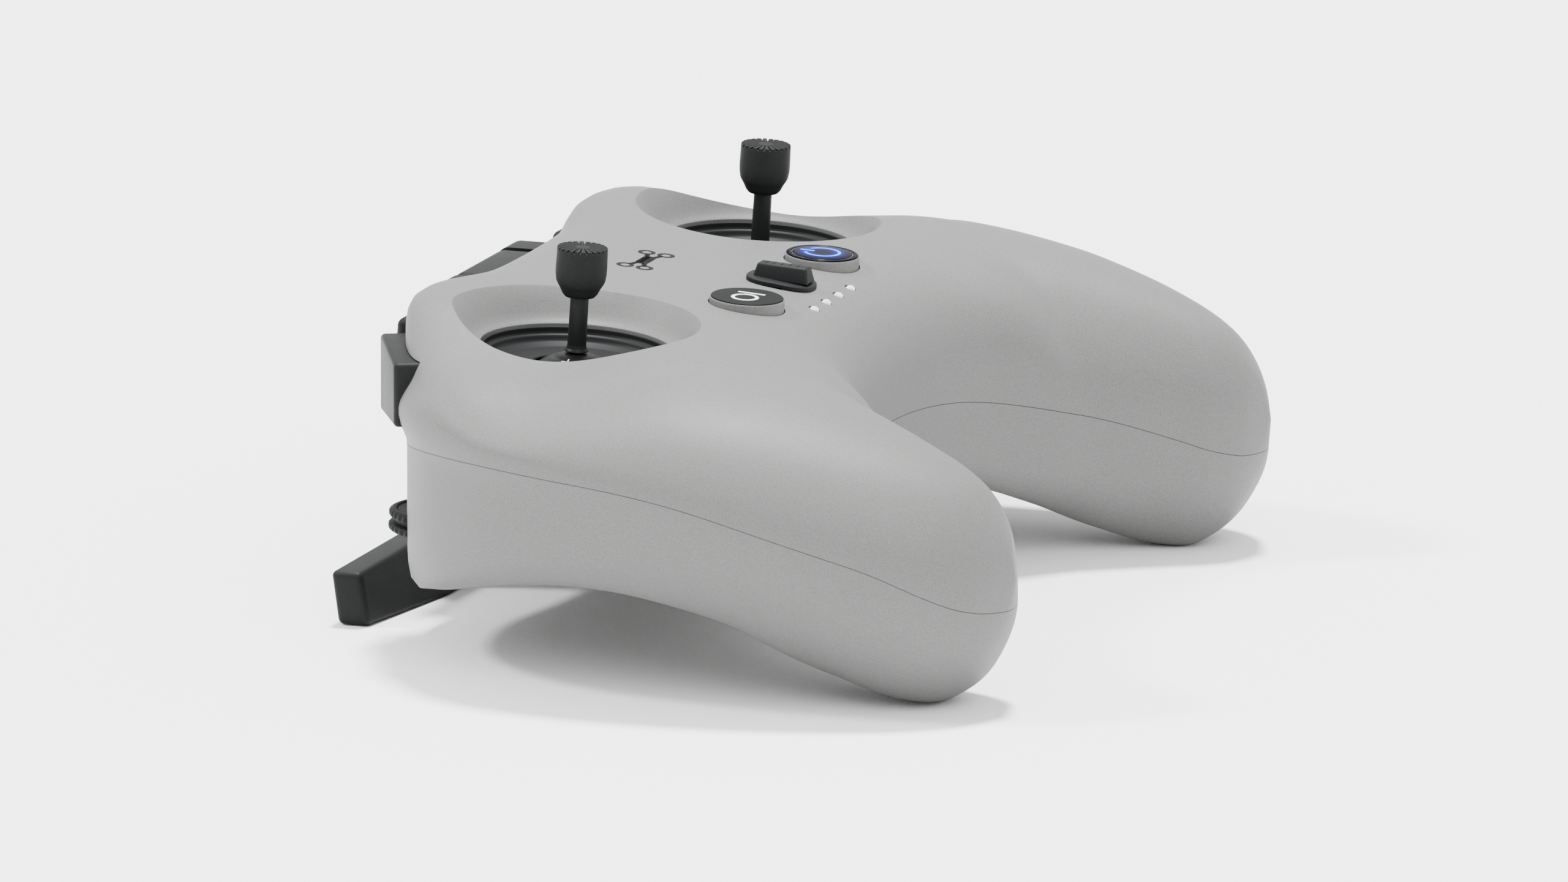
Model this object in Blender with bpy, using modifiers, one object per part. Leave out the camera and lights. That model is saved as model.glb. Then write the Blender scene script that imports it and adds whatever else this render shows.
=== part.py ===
"""Gamepad-style radio transmitter controller: shell, gimbal sticks, buttons, dial and fold-out antenna.

Frame: +X to the user's right, +Y away from the user, +Z up. The origin is at the centre of the footprint.
All dimensions below are in millimetres; place() and the mesh helpers turn them into metres.
"""
import math

import bmesh
import bpy
from mathutils import Euler, Matrix, Vector

MM = 0.001
GAP = 0.3  # clearance between pieces that meet

# ---- body outline: stations from the centre plane to the tip of the right grip ----
# Y is measured from the line on which the grips touch the table.
CONTACT_Y = -44.85
INNER_EDGE = [(0, 27.6), (12, 26.8), (22, 24.3), (29, 20.5), (34, 16), (38, 11.5), (41, 8),
              (43.5, 4), (45.5, 0.5), (48, -4), (50.5, -8.8), (54, -12.6), (61, -14.8)]
OUTER_EDGE = [(0, 89.2), (17, 89.8), (34, 92.0), (48, 90.7), (60, 86.5), (70.5, 78.4), (78, 66.5),
              (81.5, 51), (82.5, 34), (81, 16), (77, 0), (70.5, -10), (61, -14.8)]
# Heights against Y: the crest of the top, the belly, the widest level and the joint between the shells.
TOP_LINE = [(-14.8, 20.5), (-13.6, 26.5), (-10, 32.6), (-5, 36.6), (3, 40.4), (12.7, 44), (20, 46.2),
            (33, 49), (44.5, 50.5), (63.6, 51.9), (80, 53.6), (96, 55.6)]
BELLY_LINE = [(-14.8, 20.5), (-13.6, 13), (-10, 5.6), (-6, 1.8), (-1.5, 0), (5, 0.5), (12, 2.8),
              (18.5, 6), (28, 11.3), (40, 14.9), (50, 16.2), (60, 15.9), (70, 14.1), (80, 11.3), (88, 8.6),
              (96, 7.6)]
WIDEST_LINE = [(-14.8, 20.5), (-13, 16), (-9, 16.5), (-4, 18.5), (4, 22), (17, 26), (30, 30),
               (43, 33.3), (56, 36.3), (79, 38.8), (96, 38.8)]
PARTING_LINE = [(-30, 15.6), (-9, 15.6), (-4, 17.8), (4, 21.7), (17, 26), (30, 29.7), (43, 32.5),
                (56, 34.4), (65, 35.4), (72, 35.5), (79, 34.9), (86, 33.4), (92, 32.2), (110, 30)]
SHOULDER_DROP = 4.5  # how far the top falls outside the stick dishes
WALL = 2.0
BODY_RINGS = 20
BODY_POINTS = 32

# ---- deck: the sloping top face that carries the controls ----
DECK_TILT = math.radians(3.7)
DECK_Z = 50.55
STICK_X = 41.8
STICK_Y = 18.45
DISH_R = 19.0
OPENING_R = 14.9
DISH_DEPTH = 4.5
PIVOT_DEPTH = 15.0
STICK_TOP = 11.3
BUTTON_X = 17.3
BUTTON_Y = -0.35
BUTTON_R = 5.85
LED_PITCH = 5.57
LED_Y = -8.35
LED_Z = -1.9

# ---- inside ----
BATTERY_LENGTH = 38.0
SCREW_AT = [(sx * x, y) for x, y in ((58.0, -31.0), (66.0, 12.0), (24.0, 34.0)) for sx in (-1, 1)]

# ---- front controls ----
BUMPER_CENTRE = (51.5, 46.3)
BUMPER_ANGLE = math.radians(25.7)
BUMPER_SIZE = (23.3, 6.0, 11.6)
BUMPER_TOP_Z = 46.9
FN_X = 34.7
FN_WIDTH = 6.0
DIAL_AT = (-48.0, 38.4, 19.6)
DIAL_R = 8.5
DIAL_THICK = 3.4

# ---- fold-out antenna ----
HINGE_Y = 46.8
HINGE_Z = 45.6
KNUCKLE = 9.2  # side of the hinge block's rounded square section
LUG_HALF = 18.5
STEM_WIDTH = 21.6
BAR_HALF = 41.0
BAR_FRONT = 59.8
BAR_SECTION = (5.2, 8.6)
BAR_LEAN = math.radians(8)
FOOT_HALF = 15.0
FOOT_DEPTH = 4.2


def clear_scene():
    for obj in list(bpy.data.objects):
        bpy.data.objects.remove(obj)


def collection(name):
    made = bpy.data.collections.new(name)
    bpy.context.scene.collection.children.link(made)
    return made


def material(name, colour, roughness, metallic=0.0):
    made = bpy.data.materials.new(name)
    made.use_nodes = True
    shader = made.node_tree.nodes["Principled BSDF"]
    shader.inputs["Base Color"].default_value = (*colour, 1.0)
    shader.inputs["Roughness"].default_value = roughness
    shader.inputs["Metallic"].default_value = metallic
    return made


clear_scene()
PARTS = collection("transmitter_controller")
CUTTERS = collection("cutters")
SHELL_GREY = material("shell_grey", (0.55, 0.55, 0.54), 0.5)
BLACK = material("black_plastic", (0.03, 0.032, 0.033), 0.45)
GLASS = material("power_lens", (0.01, 0.012, 0.03), 0.15)
LIGHT = material("led_lens", (0.9, 0.9, 0.88), 0.3)
BOARD = material("circuit_board", (0.02, 0.16, 0.07), 0.5)
CELL = material("battery_wrap", (0.05, 0.12, 0.3), 0.5)
STEEL = material("steel", (0.6, 0.6, 0.6), 0.3, 1.0)
FRAME = material("frame_plastic", (0.12, 0.12, 0.13), 0.6)


# ------------------------------------------------------------------ curves and meshes
def hermite(points, tangents, k, u):
    """A point between key k and k + 1, with the tangents given per step."""
    a = 2 * u**3 - 3 * u**2 + 1
    b = u**3 - 2 * u**2 + u
    c = -2 * u**3 + 3 * u**2
    d = u**3 - u**2
    return points[k] * a + tangents[k] * b + points[k + 1] * c + tangents[k + 1] * d


def smooth_path(keys, count, flat_start=False):
    """count points along a smooth curve through the keys, spaced evenly by key."""
    points = [Vector(p) for p in keys]
    last = len(points) - 1
    tangents = [(points[min(i + 1, last)] - points[max(i - 1, 0)]) / 2 for i in range(last + 1)]
    tangents[0] = points[1] - points[0]
    tangents[last] = points[last] - points[last - 1]
    if flat_start:
        tangents[0].y = 0
    path = []
    for i in range(count):
        s = i * last / (count - 1)
        k = min(int(s), last - 1)
        path.append(hermite(points, tangents, k, s - k))
    return path


def height_on(line):
    """A function that reads a height line at any Y."""
    path = smooth_path(line, 400)

    def read(y):
        if y <= path[0].x:
            return path[0].y
        for a, b in zip(path, path[1:]):
            if a.x <= y <= b.x:
                return a.y + (b.y - a.y) * (y - a.x) / max(b.x - a.x, 1e-9)
        return path[-1].y

    return read


def ramp(low, high, x):
    u = min(max((x - low) / (high - low), 0), 1)
    return u * u * (3 - 2 * u)


def mesh_object(name, points, faces, look=None, group=None):
    mesh = bpy.data.meshes.new(name)
    mesh.from_pydata([Vector(p) * MM for p in points], [], faces)
    obj = bpy.data.objects.new(name, mesh)
    (group or PARTS).objects.link(obj)
    if look:
        mesh.materials.append(look)
    return obj


def section_point(shares, angle, inner, outer, read):
    """One point of a cross-section between the inner and the outer edge of the body."""
    grip, slim, full = shares
    across, rise = math.cos(angle), math.sin(angle)
    upper = rise >= 0
    if upper:
        power = full - (full - 1.95) * slim ** 0.5 if across > 0 else 4.0 - 1.8 * ramp(0, 1, slim)
        crest = -0.4 * slim
    else:
        power = 14.0 - 11.9 * grip if across > 0 else 4.0 - 1.8 * grip
        crest = -0.42 * ramp(0, 0.8, grip)
    side = math.copysign(1, across)
    reach = (abs(across) ** power + abs(rise) ** power) ** (-1 / power)
    t = crest + (side - crest) * reach * abs(across)
    lift = reach * abs(rise)
    middle = (inner + outer) / 2
    half = (outer - inner) / 2
    spot = middle + half * t
    widest = read["widest"](spot.y)
    if upper:
        fall = SHOULDER_DROP * ramp(44, 64, abs(spot.x)) * ramp(36, 66, spot.y)
        z = widest + (read["top"](spot.y) - fall - widest) * lift
        # the upper shell steps back behind the outer end of a bumper
        along = (spot.x - 51.5) * 0.901 - (spot.y - 91.15) * 0.434
        back = 2.4 * ramp(-14, 8, along) * (1 - ramp(16, 30, along)) * ramp(40, 46, z) * ramp(0.35, 0.85, t)
        spot = spot - Vector((0.434, 0.901)) * back
    else:
        z = widest + (read["belly"](spot.y) - widest) * lift
        if across > 0:  # the front of the lower shell steps back under the upper one
            step_back = 0.055 * (1 - grip) * ramp(0, 5.4, widest - z)
            spot = middle + half * t * (1 - step_back)
    return (spot.x, spot.y + CONTACT_Y, z)


def body_mesh(name, inset=0.0):
    """The whole body as one closed loft, drawn in by inset along its normals."""
    read = {"top": height_on(TOP_LINE), "belly": height_on(BELLY_LINE), "widest": height_on(WIDEST_LINE)}
    inner = smooth_path(INNER_EDGE, BODY_RINGS, True)
    outer = smooth_path(OUTER_EDGE, BODY_RINGS, True)
    points = []
    for i in range(BODY_RINGS - 1):
        s = i / (BODY_RINGS - 1)
        shares = (ramp(0.25, 0.75, s), ramp(0.26, 0.52, s), 6 + 5 * ramp(0.08, 0.2, s))
        for j in range(BODY_POINTS):
            angle = 2 * math.pi * j / BODY_POINTS
            points.append(section_point(shares, angle, inner[i], outer[i], read))
    tip = len(points)
    points.append((inner[-1].x, inner[-1].y + CONTACT_Y, TOP_LINE[0][1]))
    faces = []
    for i in range(BODY_RINGS - 2):
        for j in range(BODY_POINTS):
            a = i * BODY_POINTS + j
            b = i * BODY_POINTS + (j + 1) % BODY_POINTS
            faces.append((a, b, b + BODY_POINTS, a + BODY_POINTS))
    last = (BODY_RINGS - 2) * BODY_POINTS
    for j in range(BODY_POINTS):
        faces.append((last + j, last + (j + 1) % BODY_POINTS, tip))
    obj = mesh_object(name, points, faces, SHELL_GREY, CUTTERS)
    half = bmesh.new()
    half.from_mesh(obj.data)
    mirrored = bmesh.ops.duplicate(half, geom=half.verts[:] + half.edges[:] + half.faces[:])
    moved = [v for v in mirrored["geom"] if isinstance(v, bmesh.types.BMVert)]
    bmesh.ops.scale(half, vec=(-1, 1, 1), verts=moved)
    bmesh.ops.remove_doubles(half, verts=half.verts[:], dist=1e-6)
    bmesh.ops.recalc_face_normals(half, faces=half.faces[:])
    if inset:
        half.normal_update()
        drawn_in = [v.co - v.normal * inset * MM for v in half.verts]
        for v, co in zip(half.verts, drawn_in):
            v.co = co
    half.to_mesh(obj.data)
    half.free()
    return obj


def box(name, size, centre, look=None, group=None, bevel=0.0, segments=2, turn=(0, 0, 0)):
    """A block with rounded edges, centred where it says."""
    mesh = bpy.data.meshes.new(name)
    shape = bmesh.new()
    bmesh.ops.create_cube(shape, size=1)
    bmesh.ops.scale(shape, vec=Vector(size) * MM, verts=shape.verts[:])
    if bevel:
        bmesh.ops.bevel(shape, geom=shape.edges[:], offset=bevel * MM, segments=segments,
                        profile=0.5, affect="EDGES", clamp_overlap=True)
    shape.to_mesh(mesh)
    shape.free()
    obj = bpy.data.objects.new(name, mesh)
    (group or PARTS).objects.link(obj)
    obj.location = Vector(centre) * MM
    obj.rotation_euler = turn
    if look:
        mesh.materials.append(look)
    return obj


def cylinder(name, radius, length, centre, look=None, group=None, turn=(0, 0, 0), sides=32, top=None):
    """A round bar along its own Z; top gives another radius at the upper end."""
    mesh = bpy.data.meshes.new(name)
    shape = bmesh.new()
    bmesh.ops.create_cone(shape, cap_ends=True, segments=sides, radius1=radius * MM,
                          radius2=(radius if top is None else top) * MM, depth=length * MM)
    shape.to_mesh(mesh)
    shape.free()
    obj = bpy.data.objects.new(name, mesh)
    (group or PARTS).objects.link(obj)
    obj.location = Vector(centre) * MM
    obj.rotation_euler = turn
    if look:
        mesh.materials.append(look)
    return obj


def turned(name, profile, centre, look=None, group=None, steps=32):
    """A solid of revolution about Z from a profile of (radius, z), outer side top to bottom."""
    mesh = bpy.data.meshes.new(name)
    mesh.from_pydata([(r * MM, 0, z * MM) for r, z in profile], [(i, i + 1) for i in range(len(profile) - 1)], [])
    obj = bpy.data.objects.new(name, mesh)
    (group or PARTS).objects.link(obj)
    obj.location = Vector(centre) * MM
    screw = obj.modifiers.new("turn", "SCREW")
    screw.steps = steps
    screw.render_steps = steps
    screw.use_merge_vertices = True
    screw.merge_threshold = 1e-6
    screw.use_smooth_shade = True
    if look:
        mesh.materials.append(look)
    return bake(obj)


def ring_profile(outer, inner, low, high):
    return [(outer, high), (outer, low), (inner, low), (inner, high), (outer, high)]


def bake(obj):
    """Replaces an object's mesh by its evaluated one, so that its modifiers are applied."""
    bpy.context.view_layer.update()
    graph = bpy.context.evaluated_depsgraph_get()
    made = bpy.data.meshes.new_from_object(obj.evaluated_get(graph))
    obj.modifiers.clear()
    obj.data = made
    return obj


def on_deck(obj, centre, parent=None):
    """Places an object in the deck's frame: (x, y, height above the deck)."""
    obj.parent = parent or DECK
    obj.location = Vector(centre) * MM
    return obj


def combine(obj, other, operation):
    """Cuts, joins or intersects obj with other, which then is a helper."""
    other.hide_render = True
    other.display_type = "WIRE"
    step = obj.modifiers.new(operation.lower(), "BOOLEAN")
    step.operation = operation
    step.object = other
    step.solver = "EXACT"
    bake(obj)
    if operation == "UNION":
        bpy.data.objects.remove(other)
    return obj


def cut(obj, *others):
    for other in others:
        combine(obj, other, "DIFFERENCE")
    return obj


def join(obj, *others):
    for other in others:
        combine(obj, other, "UNION")
    return obj


def shade(obj, angle=35):
    obj.data.shade_smooth()
    obj.data.set_sharp_from_angle(angle=math.radians(angle))


DECK = bpy.data.objects.new("deck_frame", None)
PARTS.objects.link(DECK)
DECK.location = Vector((0, 0, DECK_Z)) * MM
DECK.rotation_euler = (DECK_TILT, 0, 0)
bpy.context.view_layer.update()


# ------------------------------------------------------------------ shells
def parting_block(name, above):
    """Everything above, or below, the joint between the two shells."""
    edge = smooth_path(PARTING_LINE, 60)
    shift = GAP / 4 if above else -GAP / 4
    far = 90 if above else -30
    outline = [(p.x + CONTACT_Y, p.y + shift) for p in edge]
    outline += [(outline[-1][0], far), (outline[0][0], far)]
    count = len(outline)
    half = 95
    points = [(x, y, z) for x in (-half, half) for y, z in outline]
    faces = [tuple(range(count)), tuple(range(2 * count - 1, count - 1, -1))]
    faces += [(i, i + count, (i + 1) % count + count, (i + 1) % count) for i in range(count)]
    obj = mesh_object(name, points, faces, None, CUTTERS)
    shape = bmesh.new()
    shape.from_mesh(obj.data)
    bmesh.ops.recalc_face_normals(shape, faces=shape.faces[:])
    shape.to_mesh(obj.data)
    shape.free()
    return obj


def deck_cutter(radius, depth, x, y, height=8, sides=48):
    tool = cylinder("hole", radius, depth + height, (0, 0, 0), None, CUTTERS, sides=sides)
    return on_deck(tool, (x, y, (height - depth) / 2))


def bumper_box(name, side, grow=0.0, look=None, group=None, bevel=0.0, behind=0.0, ahead=0.0):
    """The shoulder bumper's block, or with grow, behind and ahead the pocket round it."""
    length, depth, height = BUMPER_SIZE
    out = Vector((math.sin(BUMPER_ANGLE), math.cos(BUMPER_ANGLE)))
    middle = Vector(BUMPER_CENTRE) - out * (depth + behind - ahead) / 2
    return box(name, (length + 2 * grow, depth + behind + ahead, height + 2 * grow),
               (side * middle.x, middle.y, BUMPER_TOP_Z - height / 2), look, group, bevel, 3,
               (0, 0, -side * BUMPER_ANGLE))


def make_shells():
    cavity = body_mesh("cavity", WALL)
    for side in (-1, 1):
        boss = on_deck(cylinder("dish_boss", DISH_R + 2, 30, (0, 0, 0), None, CUTTERS, sides=48),
                       (side * STICK_X, STICK_Y, 15 - DISH_DEPTH - WALL))
        cut(cavity, boss)
    hollow = body_mesh("hollow")
    cut(hollow, cavity)
    upper = hollow.copy()
    upper.data = hollow.data.copy()
    upper.name = "upper_shell"
    lower = hollow.copy()
    lower.data = hollow.data.copy()
    lower.name = "lower_shell"
    for shell, above in ((upper, True), (lower, False)):
        PARTS.objects.link(shell)
        combine(shell, parting_block("parting", above), "INTERSECT")
    hollow.hide_render = True
    return upper, lower


def open_upper(upper):
    for side in (-1, 1):
        slope = (DISH_R - OPENING_R) / DISH_DEPTH
        dish = turned("dish", [(0, 6), (DISH_R + 6 * slope, 6), (OPENING_R, -DISH_DEPTH),
                               (OPENING_R, -14), (0, -14)], (0, 0, 0), None, CUTTERS, 64)
        cut(upper, on_deck(dish, (side * STICK_X, STICK_Y, 0)))
        cut(upper, deck_cutter(BUTTON_R + GAP, 6, side * BUTTON_X, BUTTON_Y))
        cut(upper, bumper_box("bumper_pocket", side, GAP, None, CUTTERS, behind=3, ahead=8))
        cut(upper, box("fn_pocket", (FN_WIDTH + 2 * GAP, 20, 7.4 + 2 * GAP), (side * FN_X, 46, 44.7), None,
                       CUTTERS, turn=(DECK_TILT, 0, 0)))
    for i in range(4):
        cut(upper, deck_cutter(0.8 + GAP, 6, (i - 1.5) * LED_PITCH, LED_Y, sides=16))
    slot = on_deck(box("slot", (9, 3.2, 20), (0, 0, 0), None, CUTTERS), (0, 0.15, 0))
    cut(upper, slot)
    pocket = (2 * LUG_HALF + 2 * GAP, 16, KNUCKLE + 2 * GAP)
    cut(upper, box("lug_pocket", pocket, (0, 46.9, HINGE_Z), None, CUTTERS))
    cut(upper, cylinder("knuckle_sweep", 6.2, STEM_WIDTH + 1.2, (0, HINGE_Y, HINGE_Z), None, CUTTERS,
                        (0, math.pi / 2, 0), 40))
    shade(upper)


def open_lower(lower):
    x, y, z = DIAL_AT
    cut(lower, cylinder("dial_slot", DIAL_R + 0.5, DIAL_THICK + 1, (x, y, z), None, CUTTERS, (DECK_TILT, 0, 0), 48))
    cut(lower, box("usb_slot", (9.6, 12, 3.8), (0, CONTACT_Y + 28, 22), None, CUTTERS, 1.5, 3))
    for px, py in SCREW_AT:
        cut(lower, cylinder("screw_hole", 2.6, 30, (px, py, 0), None, CUTTERS, sides=20))
    shade(lower)


UPPER, LOWER = make_shells()
open_upper(UPPER)
open_lower(LOWER)


# ------------------------------------------------------------------ gimbals and sticks
def make_gimbal(side, tag):
    x, y = side * STICK_X, STICK_Y
    bezel = turned("gimbal_bezel_" + tag, [(17.6, -6.8), (17.6, -10.9), (9.6, -10.9), (9.6, -9.9),
                                           (12.5, -9.0), (15.4, -6.8), (17.6, -6.8)], (0, 0, 0), BLACK, steps=36)
    on_deck(bezel, (x, y, 0))
    housing = on_deck(box("gimbal_housing_" + tag, (30, 30, 12.4), (0, 0, 0), FRAME, None, 1.5), (x, y, -17.5))
    cut(housing, on_deck(cylinder("bore", 12, 20, (0, 0, 0), None, CUTTERS, sides=40), (x, y, -17.5)))
    cut(housing, on_deck(cylinder("pin_bore", 1.6, 60, (0, 0, 0), None, CUTTERS, (0, math.pi / 2, 0), 20),
                         (x, y, -PIVOT_DEPTH)))
    yoke = turned("gimbal_yoke_" + tag, ring_profile(8, 5.2, -1.5, 1.5), (0, 0, 0), FRAME, steps=32)
    on_deck(yoke, (x, y, -PIVOT_DEPTH))
    for way in (-1, 1):
        pin = cylinder("yoke_pin", 1.2, 7.6, (0, 0, 0), FRAME, None, (0, math.pi / 2, 0), 16)
        join(yoke, on_deck(pin, (x + way * 11.0, y, -PIVOT_DEPTH)))
    cut(yoke, on_deck(cylinder("yoke_bore", 1.35, 30, (0, 0, 0), None, CUTTERS, (math.pi / 2, 0, 0), 16),
                      (x, y, -PIVOT_DEPTH)))
    pivot = bpy.data.objects.new("stick_pivot_" + tag, None)
    PARTS.objects.link(pivot)
    on_deck(pivot, (x, y, -PIVOT_DEPTH))
    dome = stick_base("stick_base_" + tag)
    on_deck(dome, (0, 0, 0), pivot)
    shaft = cylinder("stick_shaft_" + tag, 1.55, 10.1, (0, 0, 0), BLACK, sides=24)
    on_deck(shaft, (0, 0, PIVOT_DEPTH - 0.15), pivot)
    ring = turned("stick_lock_ring_" + tag, [(3.55, 1.6), (2.7, 0), (1.85, 0), (1.85, 1.6), (3.55, 1.6)],
                  (0, 0, 0), BLACK, steps=32)
    on_deck(ring, (0, 0, PIVOT_DEPTH + 3.6), pivot)
    cap = stick_cap("stick_cap_" + tag)
    on_deck(cap, (0, 0, PIVOT_DEPTH), pivot)
    for part in (bezel, housing, yoke, dome, shaft, ring, cap):
        shade(part)


def stick_base(name):
    """Dome, stem and cross pin in one piece, with the stick's pivot at its origin."""
    outer, thick, rim = 9.6, 1.4, 6.0
    steps = 5
    start = math.acos(rim / outer)
    profile = [(outer * math.sin(start * i / steps), outer * math.cos(start * i / steps)) for i in range(steps + 1)]
    inner = outer - thick
    back = [(inner * math.sin(start * i / steps), inner * math.cos(start * i / steps)) for i in range(steps, -1, -1)]
    dome = turned(name, profile + back, (0, 0, 0), BLACK, steps=24)
    stem = cylinder("stem", 2.2, 12, (0, 0, 2.8), BLACK, sides=20)
    pin = cylinder("cross_pin", 1.1, 15.6, (0, 0, 0), BLACK, None, (math.pi / 2, 0, 0), 16)
    return join(dome, stem, pin)


def stick_cap(name):
    """Knurled thumb cap with radial ribs cut into its top."""
    cap = turned(name, [(0, STICK_TOP), (3.8, STICK_TOP), (3.95, STICK_TOP - 3.7), (3.6, 5.5), (0, 5.5)],
                 (0, 0, 0), BLACK, steps=32)
    for i in range(6):
        groove = box("rib_groove", (9, 0.35, 0.7), (0, 0, STICK_TOP), None, CUTTERS, turn=(0, 0, math.pi * i / 6))
        cut(cap, groove)
    return cap


for SIDE, TAG in ((-1, "left"), (1, "right")):
    make_gimbal(SIDE, TAG)


# ------------------------------------------------------------------ deck controls
def make_button(name, x, lens):
    base = turned(name, [(0, 0.75), (BUTTON_R - 0.3, 0.75), (BUTTON_R, 0.45), (BUTTON_R, -3.2), (2, -3.2),
                         (2, -4.6), (0, -4.6)], (0, 0, 0), SHELL_GREY, steps=36)
    on_deck(base, (x, BUTTON_Y, 0))
    disc = cylinder(name + "_face", BUTTON_R - 0.35, 0.4, (0, 0, 0), lens, sides=36)
    on_deck(disc, (x, BUTTON_Y, 1.05 + 0.02))
    shade(base)
    shade(disc)


def make_slider():
    base = cylinder("mode_slider", 5.4, 0.9, (0, 0, 0), BLACK, sides=40)
    base.scale = (0.85, 1, 1)
    base.data.transform(Matrix.Diagonal((0.85, 1, 1, 1)))
    base.scale = (1, 1, 1)
    base.data.transform(Matrix.Rotation(math.radians(4.5), 4, "X"))
    on_deck(base, (0, 0.15, 0.55))
    ridge = box("ridge", (3.2, 8.4, 2.4), (0, 0, 0), BLACK, None, 0.7)
    join(base, on_deck(ridge, (0, 0.15, 1.65)))
    post = box("post", (2.4, 2.4, 5.2), (0, 0, 0), BLACK)
    join(base, on_deck(post, (0, 0.15, -1.8)))
    shade(base)


def make_lights():
    guide = box("battery_lights", (3 * LED_PITCH + 2.4, 2.4, 1.2), (0, 0, 0), LIGHT)
    on_deck(guide, (0, LED_Y, -6.2))
    for i in range(4):
        light = turned("led_light", [(0, 0.75), (0.45, 0.65), (0.75, 0.3), (0.8, 0), (0.8, -5.6), (0, -5.6)],
                       (0, 0, 0), LIGHT, steps=16)
        join(guide, on_deck(light, ((i - 1.5) * LED_PITCH, LED_Y, LED_Z)))
    shade(guide)


make_button("c1_button", -BUTTON_X, BLACK)
make_button("power_button", BUTTON_X, GLASS)
make_slider()
make_lights()


# ------------------------------------------------------------------ front controls
def make_bumper(side, tag):
    bumper = bumper_box("bumper_" + tag, side, look=BLACK, bevel=0.9)
    shade(bumper)


def make_fn_button(side, tag):
    button = box("fn_button_" + tag, (FN_WIDTH, 9.4, 7.4), (side * FN_X, 45.6, 44.7), BLACK, None, 1.3, 3,
                 (DECK_TILT, 0, 0))
    shade(button)


def make_dial():
    x, y, z = DIAL_AT
    rib_depth, half = 0.5, DIAL_THICK / 2
    teeth = 18
    outline = []
    for i in range(teeth * 2):
        r = DIAL_R if i % 2 == 0 else DIAL_R - rib_depth
        for lag in (0.1, 0.9):
            a = 2 * math.pi * (i + lag) / (teeth * 2)
            outline.append((r * math.cos(a), r * math.sin(a)))
    count = len(outline)
    points = [(px, py, pz) for pz in (-half, half) for px, py in outline]
    faces = [tuple(range(count - 1, -1, -1)), tuple(range(count, 2 * count))]
    faces += [(i, (i + 1) % count, (i + 1) % count + count, i + count) for i in range(count)]
    dial = mesh_object("gimbal_dial", points, faces, BLACK)
    dial.location = Vector(DIAL_AT) * MM
    dial.rotation_euler = (DECK_TILT, 0, 0)
    groove = turned("dial_groove", ring_profile(DIAL_R + 2, DIAL_R - 1.2, -0.5, 0.5), (0, 0, 0), None, CUTTERS, 48)
    groove.location = dial.location
    groove.rotation_euler = dial.rotation_euler
    cut(dial, groove)
    axle = cylinder("axle", 1.5, DIAL_THICK + 5, (x, y, z), BLACK, None, (DECK_TILT, 0, 0), 20)
    join(dial, axle)
    up = Vector((0, -math.sin(DECK_TILT), math.cos(DECK_TILT)))
    arms = []
    for way in (-1, 1):
        arm = box("dial_arm", (9, 12, 1.2), (0, 0, 0), FRAME, turn=(DECK_TILT, 0, 0))
        arm.location = (Vector((x, y - 4.7, z)) + up * way * (half + 1.3)) * MM
        arms.append(arm)
    bracket = box("dial_bracket", (9, 2.2, DIAL_THICK + 3.8), (x, y - 10, z), FRAME, turn=(DECK_TILT, 0, 0))
    join(bracket, *arms)
    cut(bracket, cylinder("axle_bore", 1.65, 30, (x, y, z), None, CUTTERS, (DECK_TILT, 0, 0), 20))
    shade(dial)
    shade(bracket)


for SIDE, TAG in ((-1, "left"), (1, "right")):
    make_bumper(SIDE, TAG)
    make_fn_button(SIDE, TAG)
make_dial()


# ------------------------------------------------------------------ antenna
def make_bar():
    """The cross bar: a leaning rectangular section whose lower back edge reaches further at the stem."""
    depth, height = BAR_SECTION
    rows = []
    for x in (-BAR_HALF, -FOOT_HALF, FOOT_HALF, BAR_HALF):
        foot = FOOT_DEPTH if abs(x) < BAR_HALF else 0
        section = [(0, height), (0, 0), (-depth - foot, 0), (-depth, height)]
        for y, z in section:
            rows.append((x, y * math.cos(BAR_LEAN) + z * math.sin(BAR_LEAN), z * math.cos(BAR_LEAN)))
    front = max(p[1] for p in rows)
    points = [(x, y - front + BAR_FRONT, z) for x, y, z in rows]
    faces = [(3, 2, 1, 0), (12, 13, 14, 15)]
    for k in range(3):
        for j in range(4):
            a, b = 4 * k + j, 4 * k + (j + 1) % 4
            faces.append((a, b, b + 4, a + 4))
    bar = mesh_object("bar", points, faces, BLACK)
    rounded = bar.modifiers.new("edges", "BEVEL")
    rounded.width = 0.9 * MM
    rounded.segments = 3
    rounded.limit_method = "ANGLE"
    rounded.angle_limit = math.radians(40)
    return bake(bar)


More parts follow.
